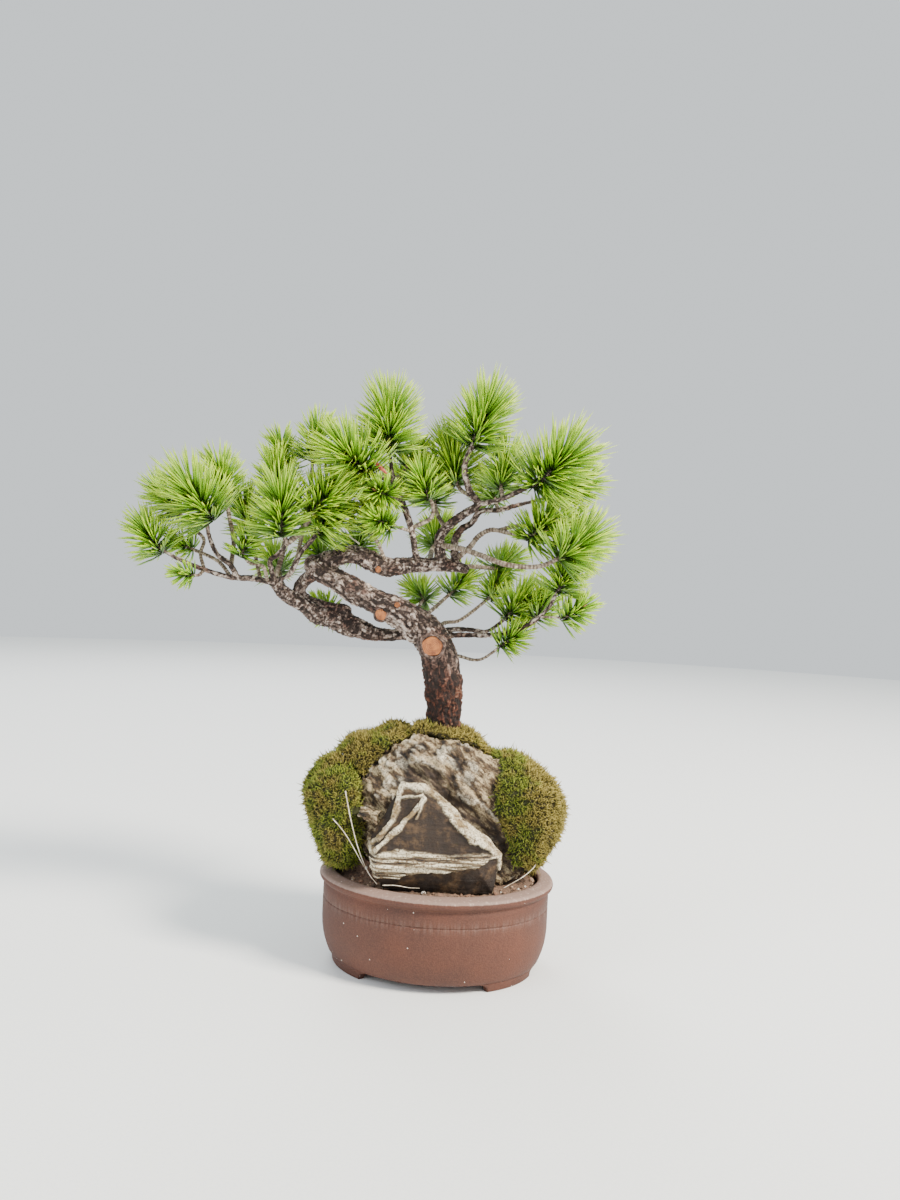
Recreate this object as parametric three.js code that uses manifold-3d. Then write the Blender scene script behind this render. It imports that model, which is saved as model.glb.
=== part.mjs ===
// A mugo pine bonsai that leans out of a mossy mound, with three rocks in front of it, in an oval
// stoneware bowl. Millimetres, +Z up, front to -Y. Everything is laid out about the middle of the
// bowl's underside; the finished group is shifted so that its origin is the bottom centre of its box.
import * as THREE from 'three';
import { ConvexGeometry } from 'three/addons/geometries/ConvexGeometry.js';
import { ImprovedNoise } from 'three/addons/math/ImprovedNoise.js';
import { mergeVertices } from 'three/addons/utils/BufferGeometryUtils.js';
import Module from 'manifold-3d';

const wasm = await Module();
wasm.setup();

// ---- driving dimensions ----
const gap = 0.3; // clearance between pieces that touch
const round = 32; // segments round the bowl

// Oval bowl: half widths are given along its length; front to back each is smaller by ovalLoss.
const bowlHalfLength = 194; // over the lip
const ovalLoss = 35;
const bowlHeight = 151;
const bowlTurn = THREE.MathUtils.degToRad(-7); // the bowl stands a little askew to the tree's front
const wall = 12;
const lipHeight = 15;
const lipOverhang = 7; // beyond the wall, both outwards and inwards
const footHeight = 13;
const footInset = 19; // foot ring in from the wall
const footWidth = 14;
const floorThickness = 12;
const frontOpening = 206; // between the front feet, and between the back ones
const sideOpening = 66; // between a front foot and a back one
const openingSweep = 20; // the feet's ends curve this far into the openings at the top
const openingCorner = 11; // and the curve is this high
const drainDiameter = 24;
const drainSpacing = 170;
const screenSize = 40;
const screenThickness = 1.5;

const soilBelowRim = 10; // at the wall
const soilHeap = 11; // the soil rises this much towards the rocks
const moundLength = 310; // root ball under the moss
const moundDepth = 215;
const moundRise = 200; // above the rim
const moundBack = 24; // its middle lies this far behind the bowl's middle
const collarDepth = 6; // root collar below the mound's top
const collarBack = 46;
const forwardLean = 26; // the trunk leans this much to the front by the height of its first limbs
const leanHeight = 160;
const drawnTreeHeight = 652; // the height that the limbs and branches below are given for
const treeHeight = 652; // root collar to the top of the needles
const tuftSize = 1; // share of the tufts' listed radii
const boulderWidth = 294;
const boulderThickness = 98;
const boulderBack = -30; // its middle, from the bowl's middle
const slateWidth = 207;
const slateInset = 30; // its foot's middle, in from the lip
const slateReach = 73; // and at most this far in front of the boulder's middle
const drawnBoulderWidth = 294; // the widths that the two rocks' points below are given for
const drawnSlateWidth = 208;
const drawnMoundRise = 200; // and the rise that the moss outlines are given for

const wallHalfLength = bowlHalfLength - lipOverhang;
const lipInner = wallHalfLength - wall - lipOverhang;
const footOuter = wallHalfLength - footInset;
const soilLevel = bowlHeight - soilBelowRim;
const collarRise = moundRise - collarDepth; // above the rim
const collar = new THREE.Vector3(0, collarBack, bowlHeight + collarRise);
const treeScale = treeHeight / drawnTreeHeight;

// ---- solids ----
function solid(geometry) {
  const bare = geometry.index ? geometry.toNonIndexed() : geometry.clone();
  const positions = new THREE.BufferGeometry().setAttribute('position', bare.getAttribute('position'));
  const merged = mergeVertices(positions, 1e-3);
  return new wasm.Manifold(new wasm.Mesh({
    numProp: 3,
    vertProperties: merged.attributes.position.array,
    triVerts: new Uint32Array(merged.index.array),
  }));
}

function geometryOf(manifold) {
  const mesh = manifold.getMesh();
  const geometry = new THREE.BufferGeometry();
  geometry.setAttribute('position', new THREE.BufferAttribute(new Float32Array(mesh.vertProperties), 3));
  geometry.setIndex(new THREE.BufferAttribute(new Uint32Array(mesh.triVerts), 1));
  const flat = geometry.toNonIndexed();
  flat.computeVertexNormals();
  return flat;
}

const union = (solids) => solids.reduce((all, one) => all.add(one));
const without = (body, cutters) => cutters.reduce((left, cutter) => left.subtract(cutter), body);

// The largest connected body of a solid, so that a cut never leaves crumbs behind.
function largest(manifold) {
  return manifold.decompose().reduce((best, one) => (one.volume() > best.volume() ? one : best));
}

// The solid made larger by `amount` on every side of its box.
function grown(manifold, amount) {
  const { min, max } = manifold.boundingBox();
  const middle = min.map((low, i) => (low + max[i]) / 2);
  const factor = min.map((low, i) => 1 + (2 * amount) / (max[i] - low));
  return manifold.translate(middle.map((m) => -m)).scale(factor).translate(middle);
}

const vec = ([x, y, z]) => new THREE.Vector3(x, y, z);

const object = new THREE.Group();

function place(name, manifold, material) {
  const mesh = new THREE.Mesh(geometryOf(manifold), material);
  mesh.name = name;
  object.add(mesh);
}

const paint = (color, roughness) => new THREE.MeshStandardMaterial({ color, roughness, metalness: 0 });
const stoneware = paint(0xa06f5f, 0.75);
const screenPlastic = paint(0x2b2f2b, 0.6);
const grit = paint(0x5a4433, 0.95);
const mossGreen = paint(0x7c8a2e, 0.95);
const boulderStone = paint(0x8a7b6c, 0.85);
const slateStone = paint(0x6b5646, 0.8);
const bark = paint(0x7a6560, 0.9);
const needleGreen = paint(0x8fb93a, 0.55);

// ---- bowl ----
// A ring or disc turned from a profile of [half length, height], then drawn in front to back.
function oval(profile) {
  const turned = new THREE.LatheGeometry(profile.map(([r, z]) => new THREE.Vector2(r, z)), round);
  turned.rotateX(Math.PI / 2);
  const position = turned.getAttribute('position');
  for (let i = 0; i < position.count; i += 1) {
    const r = Math.hypot(position.getX(i), position.getY(i));
    const base = Math.max(r, footOuter);
    position.setY(i, position.getY(i) * (base - ovalLoss) / base);
  }
  return solid(turned).rotate([0, 0, THREE.MathUtils.radToDeg(bowlTurn)]);
}

// A round corner from one profile point to the next, bulging from `middle`.
function arc(middle, radius, from, to, steps) {
  return Array.from({ length: steps + 1 }, (_, i) => {
    const angle = THREE.MathUtils.degToRad(from + ((to - from) * i) / steps);
    return [middle[0] + radius * Math.cos(angle), middle[1] + radius * Math.sin(angle)];
  });
}

function footOpening(width) {
  const half = width / 2;
  const shape = new THREE.Shape();
  shape.moveTo(-half, -1);
  const below = footHeight - openingCorner;
  shape.lineTo(-half, below);
  shape.absellipse(-half + openingSweep, below, openingSweep, openingCorner, Math.PI, Math.PI / 2, true);
  shape.lineTo(half - openingSweep, footHeight);
  shape.absellipse(half - openingSweep, below, openingSweep, openingCorner, Math.PI / 2, 0, true);
  shape.lineTo(half, -1);
  const length = 2 * bowlHalfLength;
  const cut = new THREE.ExtrudeGeometry(shape, { depth: length, bevelEnabled: false, curveSegments: 4 });
  return solid(cut).translate([0, 0, -length / 2]).rotate([90, 0, 0]);
}

const turnDegrees = THREE.MathUtils.radToDeg(bowlTurn);
const floorTop = footHeight + floorThickness;
const drains = [-1, 1].map((side) => {
  const shaft = new THREE.CylinderGeometry(drainDiameter / 2, drainDiameter / 2, floorTop * 2, 20);
  return solid(shaft).rotate([90, 0, 0]).translate([side * drainSpacing / 2, 0, footHeight]);
});
const openings = [
  footOpening(frontOpening),
  footOpening(sideOpening).rotate([0, 0, 90]),
];
const lipRound = lipHeight / 2;
const bowl = without(oval([
  [0, footHeight],
  [footOuter - footWidth, footHeight],
  [footOuter - footWidth, 0],
  [footOuter - 1, 0],
  [footOuter + 1, footHeight - 1],
  [footOuter, footHeight + 2],
  [wallHalfLength - 13, footHeight + 3],
  [wallHalfLength - 9, footHeight + 15],
  [wallHalfLength - 3, footHeight + 32],
  [wallHalfLength, footHeight + 52],
  [wallHalfLength, bowlHeight - lipHeight - 6],
  [wallHalfLength + 1, bowlHeight - lipHeight - 1],
  ...arc([bowlHalfLength - lipRound, bowlHeight - 2 - lipRound], lipRound, -70, 80, 5),
  [lipInner + 3, bowlHeight],
  [lipInner, bowlHeight - 3],
  [lipInner, bowlHeight - soilBelowRim + 1],
  [lipInner + lipOverhang, bowlHeight - lipHeight - 4],
  [wallHalfLength - wall - 3, floorTop + 25],
  [wallHalfLength - wall - 18, floorTop],
  [0, floorTop],
]), [...openings, ...drains].map((cut) => cut.rotate([0, 0, turnDegrees])));
place('bowl', bowl, stoneware);

const screens = [-1, 1].map((side) => {
  const plate = new THREE.BoxGeometry(screenSize, screenSize, screenThickness);
  const height = floorTop + gap + screenThickness / 2;
  return solid(plate).translate([side * drainSpacing / 2, 0, height]).rotate([0, 0, turnDegrees]);
});
place('drain_screen_left', screens[0], screenPlastic);
place('drain_screen_right', screens[1], screenPlastic);

// Everything that the mound's pieces keep clear of at the rim.
const rimBand = oval([
  [lipInner - gap, 0], [bowlHalfLength + 200, 0], [bowlHalfLength + 200, bowlHeight + gap],
  [lipInner - gap, bowlHeight + gap], [lipInner - gap, 0],
]);

// ---- rocks ----
const noise = new ImprovedNoise();
const roughness = (p, size, seed) => noise.noise(p.x / size + seed, p.y / size, p.z / size);

// A rounded lump whose outline from the front passes near the points of `outline`, [x, z]. It is
// `thickness` from front to back about y = 0, and its top lies `lean` further back per mm of height.
function lump(outline, thickness, lean, bumps, detail) {
  const ball = new THREE.IcosahedronGeometry(1, detail);
  const position = ball.getAttribute('position');
  const [midX, midZ] = [0, 1].map((axis) => {
    const values = outline.map((point) => point[axis]);
    return (Math.min(...values) + Math.max(...values)) / 2;
  });
  const angles = outline.map(([x, z]) => Math.atan2(z - midZ, x - midX));
  const reach = outline.map(([x, z]) => Math.hypot(x - midX, z - midZ));
  const reachAt = (angle) => {
    const spread = angles.map((a) => Math.exp(12 * (Math.cos(a - angle) - 1)));
    const total = spread.reduce((sum, s) => sum + s);
    return spread.reduce((sum, s, i) => sum + s * reach[i], 0) / total;
  };
  const p = new THREE.Vector3();
  for (let i = 0; i < position.count; i += 1) {
    p.fromBufferAttribute(position, i);
    const flat = Math.hypot(p.x, p.z);
    const full = flat ** 0.75 * reachAt(Math.atan2(p.z, p.x)) / Math.max(flat, 1e-6);
    p.set(p.x * full, p.y * thickness / 2, p.z * full);
    p.y += lean * p.z;
    p.multiplyScalar(1 + bumps * roughness(p, 45, 3) + 0.5 * bumps * roughness(p, 18, 7));
    position.setXYZ(i, p.x + midX, p.y, p.z + midZ);
  }
  return solid(ball);
}

const boulderOutline = [
  [-142, 20], [-136, 62], [-106, 92], [-70, 112], [0, 114], [60, 102], [98, 72],
  [134, 30], [150, -20], [158, -62], [140, -95], [60, -118], [-60, -118], [-130, -80],
];
const boulderShare = boulderWidth / drawnBoulderWidth;
const boulder = lump(
  boulderOutline.map(([x, z]) => [x * boulderShare, z * boulderShare]), boulderThickness, 0.1, 0.05, 5,
).translate([8, boulderBack, bowlHeight - 3 + 106 * boulderShare]).subtract(rimBand);

// Corner points of the slate, measured from the middle of its foot.
const slatePoints = [
  [-64, 14, 160], [-26, 12, 161], [-8, 10, 147], [-56, 30, 156], [-18, 32, 156],
  [-107, 2, 78], [-103, -6, 38], [-20, -12, 138], [-94, -26, 66], [75, -24, 77],
  [24, 14, 121], [83, 6, 79], [102, 4, 58], [102, 6, 44], [-93, -30, 38], [62, -28, 46],
  [-86, 2, -8], [48, -4, -8], [92, 6, -8], [-80, 30, -8], [82, 34, -8], [-88, 32, 90], [78, 34, 62],
];
const slateShare = slateWidth / drawnSlateWidth;
// Near the lip, but never so far forward that it leaves the boulder.
const slateFront = Math.max(ovalLoss - lipInner + slateInset, boulderBack - slateReach);
const slateBlock = solid(new ConvexGeometry(slatePoints.map((p) => vec(p).multiplyScalar(slateShare))))
  .translate([0, slateFront, bowlHeight]);
const slate = largest(without(slateBlock, [grown(boulder, 2 * gap), rimBand]));

// Corner points of the small stone that stands between the two, and its place beside the slate.
const chipPoints = [
  [-20, -14, 6], [16, -16, 8], [20, 12, 5], [-16, 30, 6],
  [-20, -12, -4], [14, -14, -20], [18, 12, -22], [-16, 30, -16], [0, 30, -20],
];
const chipPlace = vec([-106, 0, 111]).multiplyScalar(boulderShare)
  .add(vec([0, slateFront + 8, bowlHeight]));
const chip = largest(without(
  solid(new ConvexGeometry(chipPoints.map(vec)))
    .translate(chipPlace.toArray()),
  [grown(boulder, 2 * gap), grown(slate, 2 * gap)],
));
place('rock_large', largest(boulder), boulderStone);
place('rock_slate', slate, slateStone);
place('rock_small', chip, boulderStone);

// ---- wood ----
// A limb: a cylinder bent along a smooth curve, its radius running through `radii`.
function limb(path, radii, sides, step, extra) {
  const curve = new THREE.CatmullRomCurve3(path, false, 'centripetal');
  const steps = Math.max(2, Math.round(curve.getLength() / step));
  const tube = new THREE.CylinderGeometry(1, 1, 1, sides, steps);
  const position = tube.getAttribute('position');
  const frames = curve.computeFrenetFrames(steps, false);
  for (let i = 0; i < position.count; i += 1) {
    const [x, y, z] = [position.getX(i), position.getY(i), position.getZ(i)];
    const station = Math.round((0.5 - y) * steps);
    const along = (station / steps) * (radii.length - 1);
    const low = Math.min(Math.floor(along), radii.length - 2);
    const radius = THREE.MathUtils.lerp(radii[low], radii[low + 1], along - low) + extra;
    const end = station === 0 ? -extra : station === steps ? extra : 0;
    const p = curve.getPointAt(station / steps)
      .addScaledVector(frames.normals[station], -x * radius)
      .addScaledVector(frames.binormals[station], -z * radius)
      .addScaledVector(frames.tangents[station], end);
    position.setXYZ(i, p.x, p.y, p.z);
  }
  return solid(tube);
}

// Heavy limbs, from the root collar: [x, y, z, radius] along the middle of the wood.
const heavyLimbs = {
  trunk: [
    [0, 0, -60, 30], [0, 0, -20, 34], [0, 0, 5, 32], [-1, 0, 45, 30], [-2, 0, 94, 32], [-6, -2, 128, 32],
    [-14, -5, 162, 31], [-29, -8, 191, 30], [-54, -12, 212, 28], [-81, -18, 229, 26], [-115, -25, 244, 22],
    [-148, -30, 258, 21], [-181, -35, 276, 19], [-208, -36, 291, 19], [-224, -35, 302, 18],
  ],
  upper_limb: [
    [-219, -35, 297, 18], [-206, -34, 309, 16], [-187, -32, 317, 15], [-168, -28, 322, 15],
    [-147, -22, 320, 16], [-127, -17, 311, 17], [-106, -15, 305, 16], [-85, -15, 308, 15],
    [-60, -15, 311, 13], [-35, -14, 312, 12], [-11, -12, 313, 11.5], [9, -10, 311, 10], [24, -8, 308, 8],
  ],
  lower_limb: [
    [-34, 5, 202, 15], [-78, 20, 193, 11], [-107, 20, 190, 11], [-136, 14, 194, 14], [-166, 6, 205, 18],
    [-191, -2, 214, 19], [-216, -8, 219, 17], [-240, -14, 233, 14], [-265, -20, 247, 13],
    [-282, -25, 260, 11.5], [-291, -30, 271, 9],
  ],
  looping_limb: [
    [-228, -25, 287, 11.5], [-246, -12, 273, 11], [-253, -5, 256, 11], [-241, -2, 242, 12],
    [-214, 0, 231, 12.5], [-178, 0, 226, 15],
  ],
};

// Branches and the needle tuft that each one ends in, from the root collar:
// [name, limb it grows from, radius at its start, at its end, path, middle of the tuft, tuft radius].
const branches = [
  ['left_1', 'lower_limb', 6, 3, [[-290, -30, 270], [-325, -45, 275], [-355, -60, 275], [-395, -75, 285],
    [-435, -85, 300], [-465, -90, 315]], [-485, -95, 345], 45],
  ['left_2', 'left_1', 5, 3.5, [[-345, -55, 275], [-355, -70, 295], [-375, -75, 310], [-385, -80, 330],
    [-390, -85, 350], [-390, -90, 375]], [-415, -100, 410], 65],
  ['left_3', 'left_1', 3, 2.5, [[-355, -60, 275], [-380, -50, 300], [-430, -40, 320]], [-455, -40, 330], 30],
  ['left_4', 'left_1', 2.5, 2, [[-395, -75, 285], [-400, -90, 275], [-410, -95, 275]], [-425, -100, 275], 25],
  ['left_5', 'left_1', 2.5, 2.5, [[-395, -75, 285], [-405, -65, 310], [-405, -50, 335], [-430, -40, 355],
    [-460, -30, 385]], [-490, -20, 415], 45],
  ['left_6', 'left_2', 3.5, 3, [[-355, -65, 295], [-360, -35, 335], [-375, -15, 380], [-385, -10, 415]],
    [-395, -5, 460], 50],
  ['left_7', 'left_1', 3, 2.5, [[-310, -40, 275], [-330, -10, 320], [-345, 10, 360]], [-355, 15, 410], 45],
  ['left_8', 'left_1', 3, 2, [[-300, -35, 270], [-305, -60, 295], [-325, -70, 300], [-335, -80, 315]],
    [-325, -85, 340], 35],
  ['left_9', 'lower_limb', 5.5, 3.5, [[-280, -35, 290], [-295, -50, 305], [-280, -65, 315],
    [-265, -80, 335], [-270, -100, 355]], [-270, -110, 405], 60],
  ['left_10', 'lower_limb', 4, 3, [[-280, -30, 290], [-280, -10, 340], [-290, 5, 390], [-300, 10, 420]],
    [-305, 15, 470], 50],
  ['left_11', 'left_10', 3, 2.5, [[-290, 0, 375], [-290, 30, 440], [-295, 40, 470]], [-305, 40, 515], 40],
  ['left_12', 'left_9', 4.5, 4, [[-270, -80, 330], [-250, -80, 345], [-235, -80, 365], [-220, -85, 390]],
    [-195, -90, 420], 60],
  ['left_13', 'lower_limb', 5, 4, [[-285, -30, 275], [-265, -35, 285], [-255, -40, 305], [-245, -40, 325],
    [-230, -50, 340], [-215, -55, 360]], [-195, -60, 385], 50],
  ['left_14', 'left_13', 3.5, 2.5, [[-255, -25, 310], [-250, 0, 380], [-245, 15, 440], [-245, 20, 490]],
    [-240, 25, 540], 45],
  ['left_15', 'lower_limb', 3.5, 2.5, [[-190, 5, 215], [-210, 50, 225]], [-240, 100, 240], 35],
  ['left_16', 'upper_limb', 3.5, 3, [[-215, -25, 305], [-225, 35, 320]], [-250, 80, 345], 40],
  ['crown_1', 'upper_limb', 7, 3.5, [[-55, -15, 310], [-60, -20, 330], [-70, -35, 375], [-90, -45, 425],
    [-100, -50, 445], [-105, -55, 470], [-110, -60, 505]], [-110, -65, 555], 65],
  ['crown_2', 'crown_1', 3.5, 2.5, [[-100, -50, 445], [-130, -70, 450], [-145, -90, 455]],
    [-170, -105, 470], 65],
  ['crown_3', 'crown_1', 3, 2.5, [[-100, -50, 445], [-85, -30, 465], [-80, -15, 480]], [-65, 0, 510], 35],
  ['crown_4', 'crown_1', 3, 2.5, [[-90, -40, 415], [-110, -65, 420]], [-135, -90, 425], 40],
  ['crown_5', 'crown_1', 2.5, 2, [[-70, -30, 365], [-95, -60, 370], [-105, -70, 370]], [-125, -90, 385], 35],
  ['crown_6', 'upper_limb', 3, 2.5, [[-105, -15, 310], [-120, -40, 340], [-135, -50, 365]],
    [-140, -50, 400], 40],
  ['crown_7', 'crown_1', 3.5, 2.5, [[-70, -35, 370], [-35, -45, 390], [-35, -50, 410], [-45, -55, 425]],
    [-55, -60, 455], 45],
  ['crown_8', 'upper_limb', 10, 4.5, [[-15, -10, 315], [-20, -20, 340], [-20, -20, 360], [-5, -25, 380],
    [20, -30, 400], [40, -35, 415], [25, -40, 435], [15, -50, 475], [30, -50, 520]], [45, -55, 570], 65],
  ['crown_9', 'crown_8', 4, 3, [[-10, -20, 375], [-25, 0, 395], [-35, 10, 425]], [-40, 20, 460], 45],
  ['crown_10', 'crown_9', 3, 2.5, [[-30, 10, 420], [-30, 50, 455]], [-30, 65, 505], 45],
  ['crown_11', 'crown_8', 3.5, 3, [[30, -40, 425], [10, -20, 440], [0, -10, 460]], [-10, 0, 510], 60],
  ['crown_12', 'crown_8', 5, 4, [[40, -35, 415], [70, -60, 420], [95, -75, 430], [135, -95, 450]],
    [165, -115, 480], 70],
  ['crown_13', 'crown_12', 3.5, 3, [[80, -65, 420], [75, -50, 450]], [80, -40, 490], 50],
  ['crown_14', 'upper_limb', 7.5, 3, [[10, -10, 310], [5, 0, 355], [15, 0, 375], [30, -5, 385],
    [45, -20, 405], [75, -5, 410], [105, 5, 420], [135, 15, 430], [180, 20, 445]], [230, 25, 470], 50],
  ['crown_15', 'crown_14', 3, 2.5, [[75, -5, 410], [70, 40, 435]], [60, 70, 470], 45],
  ['right_1', 'crown_8', 4.5, 3, [[-20, -20, 345], [15, -45, 340], [45, -70, 330], [90, -95, 315],
    [140, -100, 315], [180, -95, 335]], [205, -90, 355], 60],
  ['right_2', 'crown_14', 4.5, 3, [[15, -10, 325], [30, -10, 345], [45, -10, 365], [65, -20, 375],
    [95, -30, 370], [130, -55, 365]], [150, -70, 390], 50],
  ['right_3', 'right_2', 3.5, 2.5, [[75, -25, 375], [115, -15, 385], [180, 20, 380]], [210, 35, 405], 45],
  ['right_4', 'trunk', 5, 3.5, [[-15, 5, 215], [10, 30, 205], [40, 40, 205], [70, 40, 205], [105, 30, 235]],
    [130, 25, 265], 50],
  ['right_5', 'trunk', 5, 3.5, [[-15, 5, 200], [10, 20, 195], [80, 5, 200], [125, -20, 215],
    [160, -40, 245], [180, -50, 285]], [190, -55, 320], 50],
  ['right_6', 'right_5', 3, 2.5, [[135, -25, 220], [150, 0, 235]], [160, 25, 280], 40],
  ['right_7', 'right_5', 2, 1.5, [[150, -35, 235], [175, -50, 235], [190, -55, 235]], [220, -60, 255], 35],
  ['right_8', 'trunk', 3, 2, [[-5, 5, 170], [20, 20, 160], [55, 20, 155], [95, -5, 185]],
    [115, -10, 200], 35],
  ['right_9', 'trunk', 3.5, 2.5, [[-25, 5, 215], [-5, 40, 215], [20, 70, 220], [75, 90, 265]],
    [85, 95, 300], 35],
  ['right_10', 'trunk', 3.5, 2.5, [[-40, 0, 235], [-20, 35, 245], [5, 70, 270]], [30, 80, 300], 40],
  ['right_11', 'trunk', 3, 2.5, [[-50, 0, 240], [-45, 60, 255]], [-65, 105, 275], 40],
  ['back_1', 'upper_limb', 4.5, 3, [[-170, -20, 315], [-175, 60, 330], [-170, 100, 340]],
    [-170, 145, 375], 45],
  ['back_2', 'upper_limb', 4.5, 3, [[-35, -10, 310], [-35, 60, 340], [-30, 110, 355]], [-25, 155, 390], 50],
  ['back_3', 'upper_limb', 4, 3, [[5, -10, 315], [45, 50, 315], [85, 90, 315]], [110, 130, 335], 45],
  ['back_4', 'lower_limb', 3.5, 3, [[-260, -20, 245], [-290, 40, 270], [-305, 75, 295]],
    [-330, 110, 325], 45],
  ['back_5', 'crown_1', 3.5, 3, [[-80, -40, 400], [-90, 40, 425], [-95, 80, 445]], [-100, 110, 485], 45],
];

function fromCollar([x, y, z]) {
  const lean = forwardLean * THREE.MathUtils.smoothstep(z, 0, leanHeight);
  return new THREE.Vector3(x, y - lean, z).multiplyScalar(treeScale).add(collar);
}
const limbs = {};
for (const [name, points] of Object.entries(heavyLimbs)) {
  limbs[name] = {
    path: points.map(fromCollar),
    radii: points.map((point) => point[3] * treeScale),
    sides: name === 'trunk' ? 10 : 8,
    step: 32,
  };
}
// A branch starts on the middle line of the limb that it grows from.
for (const [name, parent, start, end, points] of branches) {
  const path = points.map(fromCollar);
  const spine = new THREE.CatmullRomCurve3(limbs[parent].path, false, 'centripetal').getSpacedPoints(60);
  const nearest = spine.reduce((best, p) => (p.distanceTo(path[0]) < best.distanceTo(path[0]) ? p : best));
  path[0] = nearest;
  limbs[name] = { path, radii: [start * treeScale, end * treeScale], sides: 4, step: 40 };
}
const grow = (extra) => union(Object.values(limbs).map((l) => limb(l.path, l.radii, l.sides, l.step, extra)));
const wood = grow(0);
const woodRoom = grow(2 * gap);
place('trunk_and_branches', largest(wood.subtract(grown(boulder, 2 * gap))), bark);

// ---- soil ----
const moundMiddle = [-4, moundBack, soilLevel - 10];
const moundHeight = moundRise + soilBelowRim + 10;
function mound(extra) {
  const ball = new THREE.SphereGeometry(1, 18, 12);
  ball.rotateX(Math.PI / 2);
  ball.scale(moundLength / 2 + extra, moundDepth / 2 + extra, moundHeight + extra);
  return solid(ball).translate(moundMiddle);
}
function fill(extra) {
  const inner = wallHalfLength - wall;
  return oval([
    [0, floorTop + gap],
    [inner - 18 - gap, floorTop + gap],
    [inner - 3 - gap, floorTop + 25],
    [inner - 2 * gap, bowlHeight - lipHeight - 5],
    [lipInner - 1, soilLevel - 1 + extra],
    [lipInner - 30, soilLevel + 0.7 * soilHeap + extra],
    [lipInner - 90, soilLevel + soilHeap + extra],
    [0, soilLevel + soilHeap + extra],
  ]);
}
const aboveSoil = solid(new THREE.BoxGeometry(1000, 1000, 1000)).translate([0, 0, 500 + soilLevel - 5]);
const rocksRoom = [boulder, slate, chip].map((rock) => grown(rock, 2 * gap));
const soil = largest(without(
  fill(0).add(mound(0).intersect(aboveSoil).subtract(rimBand)),
  [...rocksRoom, ...screens.map((screen) => grown(screen, gap)), woodRoom],
));
place('soil', soil, grit);

// ---- moss ----
// Each cushion's outline from the front, [x, z] from the rim's middle, its depth and its middle's y.
const cushions = {
  moss_left: {
    depth: 214,
    back: 14,
    outline: [[-150, -8], [-186, 14], [-194, 56], [-211, 97], [-222, 131], [-215, 157], [-196, 176],
      [-165, 188], [-130, 168], [-118, 120], [-118, 50], [-128, 4]],
  },
  moss_upper: {
    depth: 166,
    back: 46,
    outline: [[-188, 168], [-164, 196], [-120, 219], [-72, 230], [-40, 224], [-24, 190], [-80, 130],
      [-160, 120]],
  },
  moss_crown: {
    depth: 160,
    back: 42,
    outline: [[-64, 232], [-30, 238], [4, 238], [36, 232], [64, 216], [84, 196], [80, 150], [0, 130],
      [-70, 150]],
  },
  moss_right: {
    depth: 206,
    back: 14,
    outline: [[66, 200], [96, 199], [132, 186], [174, 166], [202, 140], [211, 100], [203, 72], [184, 52],
      [168, 14], [112, -4], [84, 70], [66, 150]],
  },
  moss_back: {
    depth: 110,
    back: 104,
    outline: [[-150, 10], [-172, 80], [-150, 150], [-90, 196], [0, 206], [80, 188], [140, 140], [158, 70],
      [140, 8], [0, -8]],
  },
};
const moundShare = moundRise / drawnMoundRise;
const underMoss = [mound(gap), fill(gap), rimBand, ...rocksRoom, woodRoom];
const laid = [];
for (const [name, { depth, back, outline }] of Object.entries(cushions)) {
  const raised = outline.map(([x, z]) => [x, z * moundShare]);
  const cushion = lump(raised, depth, 0, 0.07, 4).translate([0, back, bowlHeight]);
  place(name, largest(without(cushion, [...underMoss, ...laid])), mossGreen);
  laid.push(grown(cushion, 2 * gap));
}

// ---- needle tufts ----
// A brush: narrow where the needles start on the shoot, widest past the shoot's tip, rounded off.
const brush = [[0, 0], [0.6, 0.08], [1, 0.5], [0.78, 0.84], [0, 1]];
function tuft(tip, middle, radius) {
  const way = middle.clone().sub(tip);
  const start = tip.clone().addScaledVector(way.clone().normalize(), -0.25 * radius);
  const length = way.length() + 1.15 * radius;
  const profile = brush.map(([r, z]) => new THREE.Vector2(r * radius, z * length));
  const turned = new THREE.LatheGeometry(profile, 7);
  const aim = new THREE.Quaternion().setFromUnitVectors(new THREE.Vector3(0, 1, 0), way.normalize());
  turned.applyQuaternion(aim);
  turned.translate(start.x, start.y, start.z);
  return solid(turned);
}
const tufts = [];
for (const [name, , , , , middle, radius] of branches) {
  const tip = limbs[name].path[limbs[name].path.length - 1];
  const whole = tuft(tip, fromCollar(middle), radius * treeScale * tuftSize);
  place(`needles_${name}`, largest(without(whole, [woodRoom, ...tufts])), needleGreen);
  tufts.push(grown(whole, 2 * gap));
}

// ---- origin at the bottom centre of the whole object's box ----
const box = new THREE.Box3().setFromObject(object);
const middleOfBox = box.getCenter(new THREE.Vector3());
object.position.set(-middleOfBox.x, -middleOfBox.y, -box.min.z);

export default object;
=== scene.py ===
"""A mugo pine bonsai in an oval stoneware bowl, with moss and rocks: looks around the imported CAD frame."""

import math

import bmesh
import bpy
import numpy as np
from mathutils import Matrix, Vector, noise
from mathutils.bvhtree import BVHTree
from mathutils.kdtree import KDTree


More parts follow.
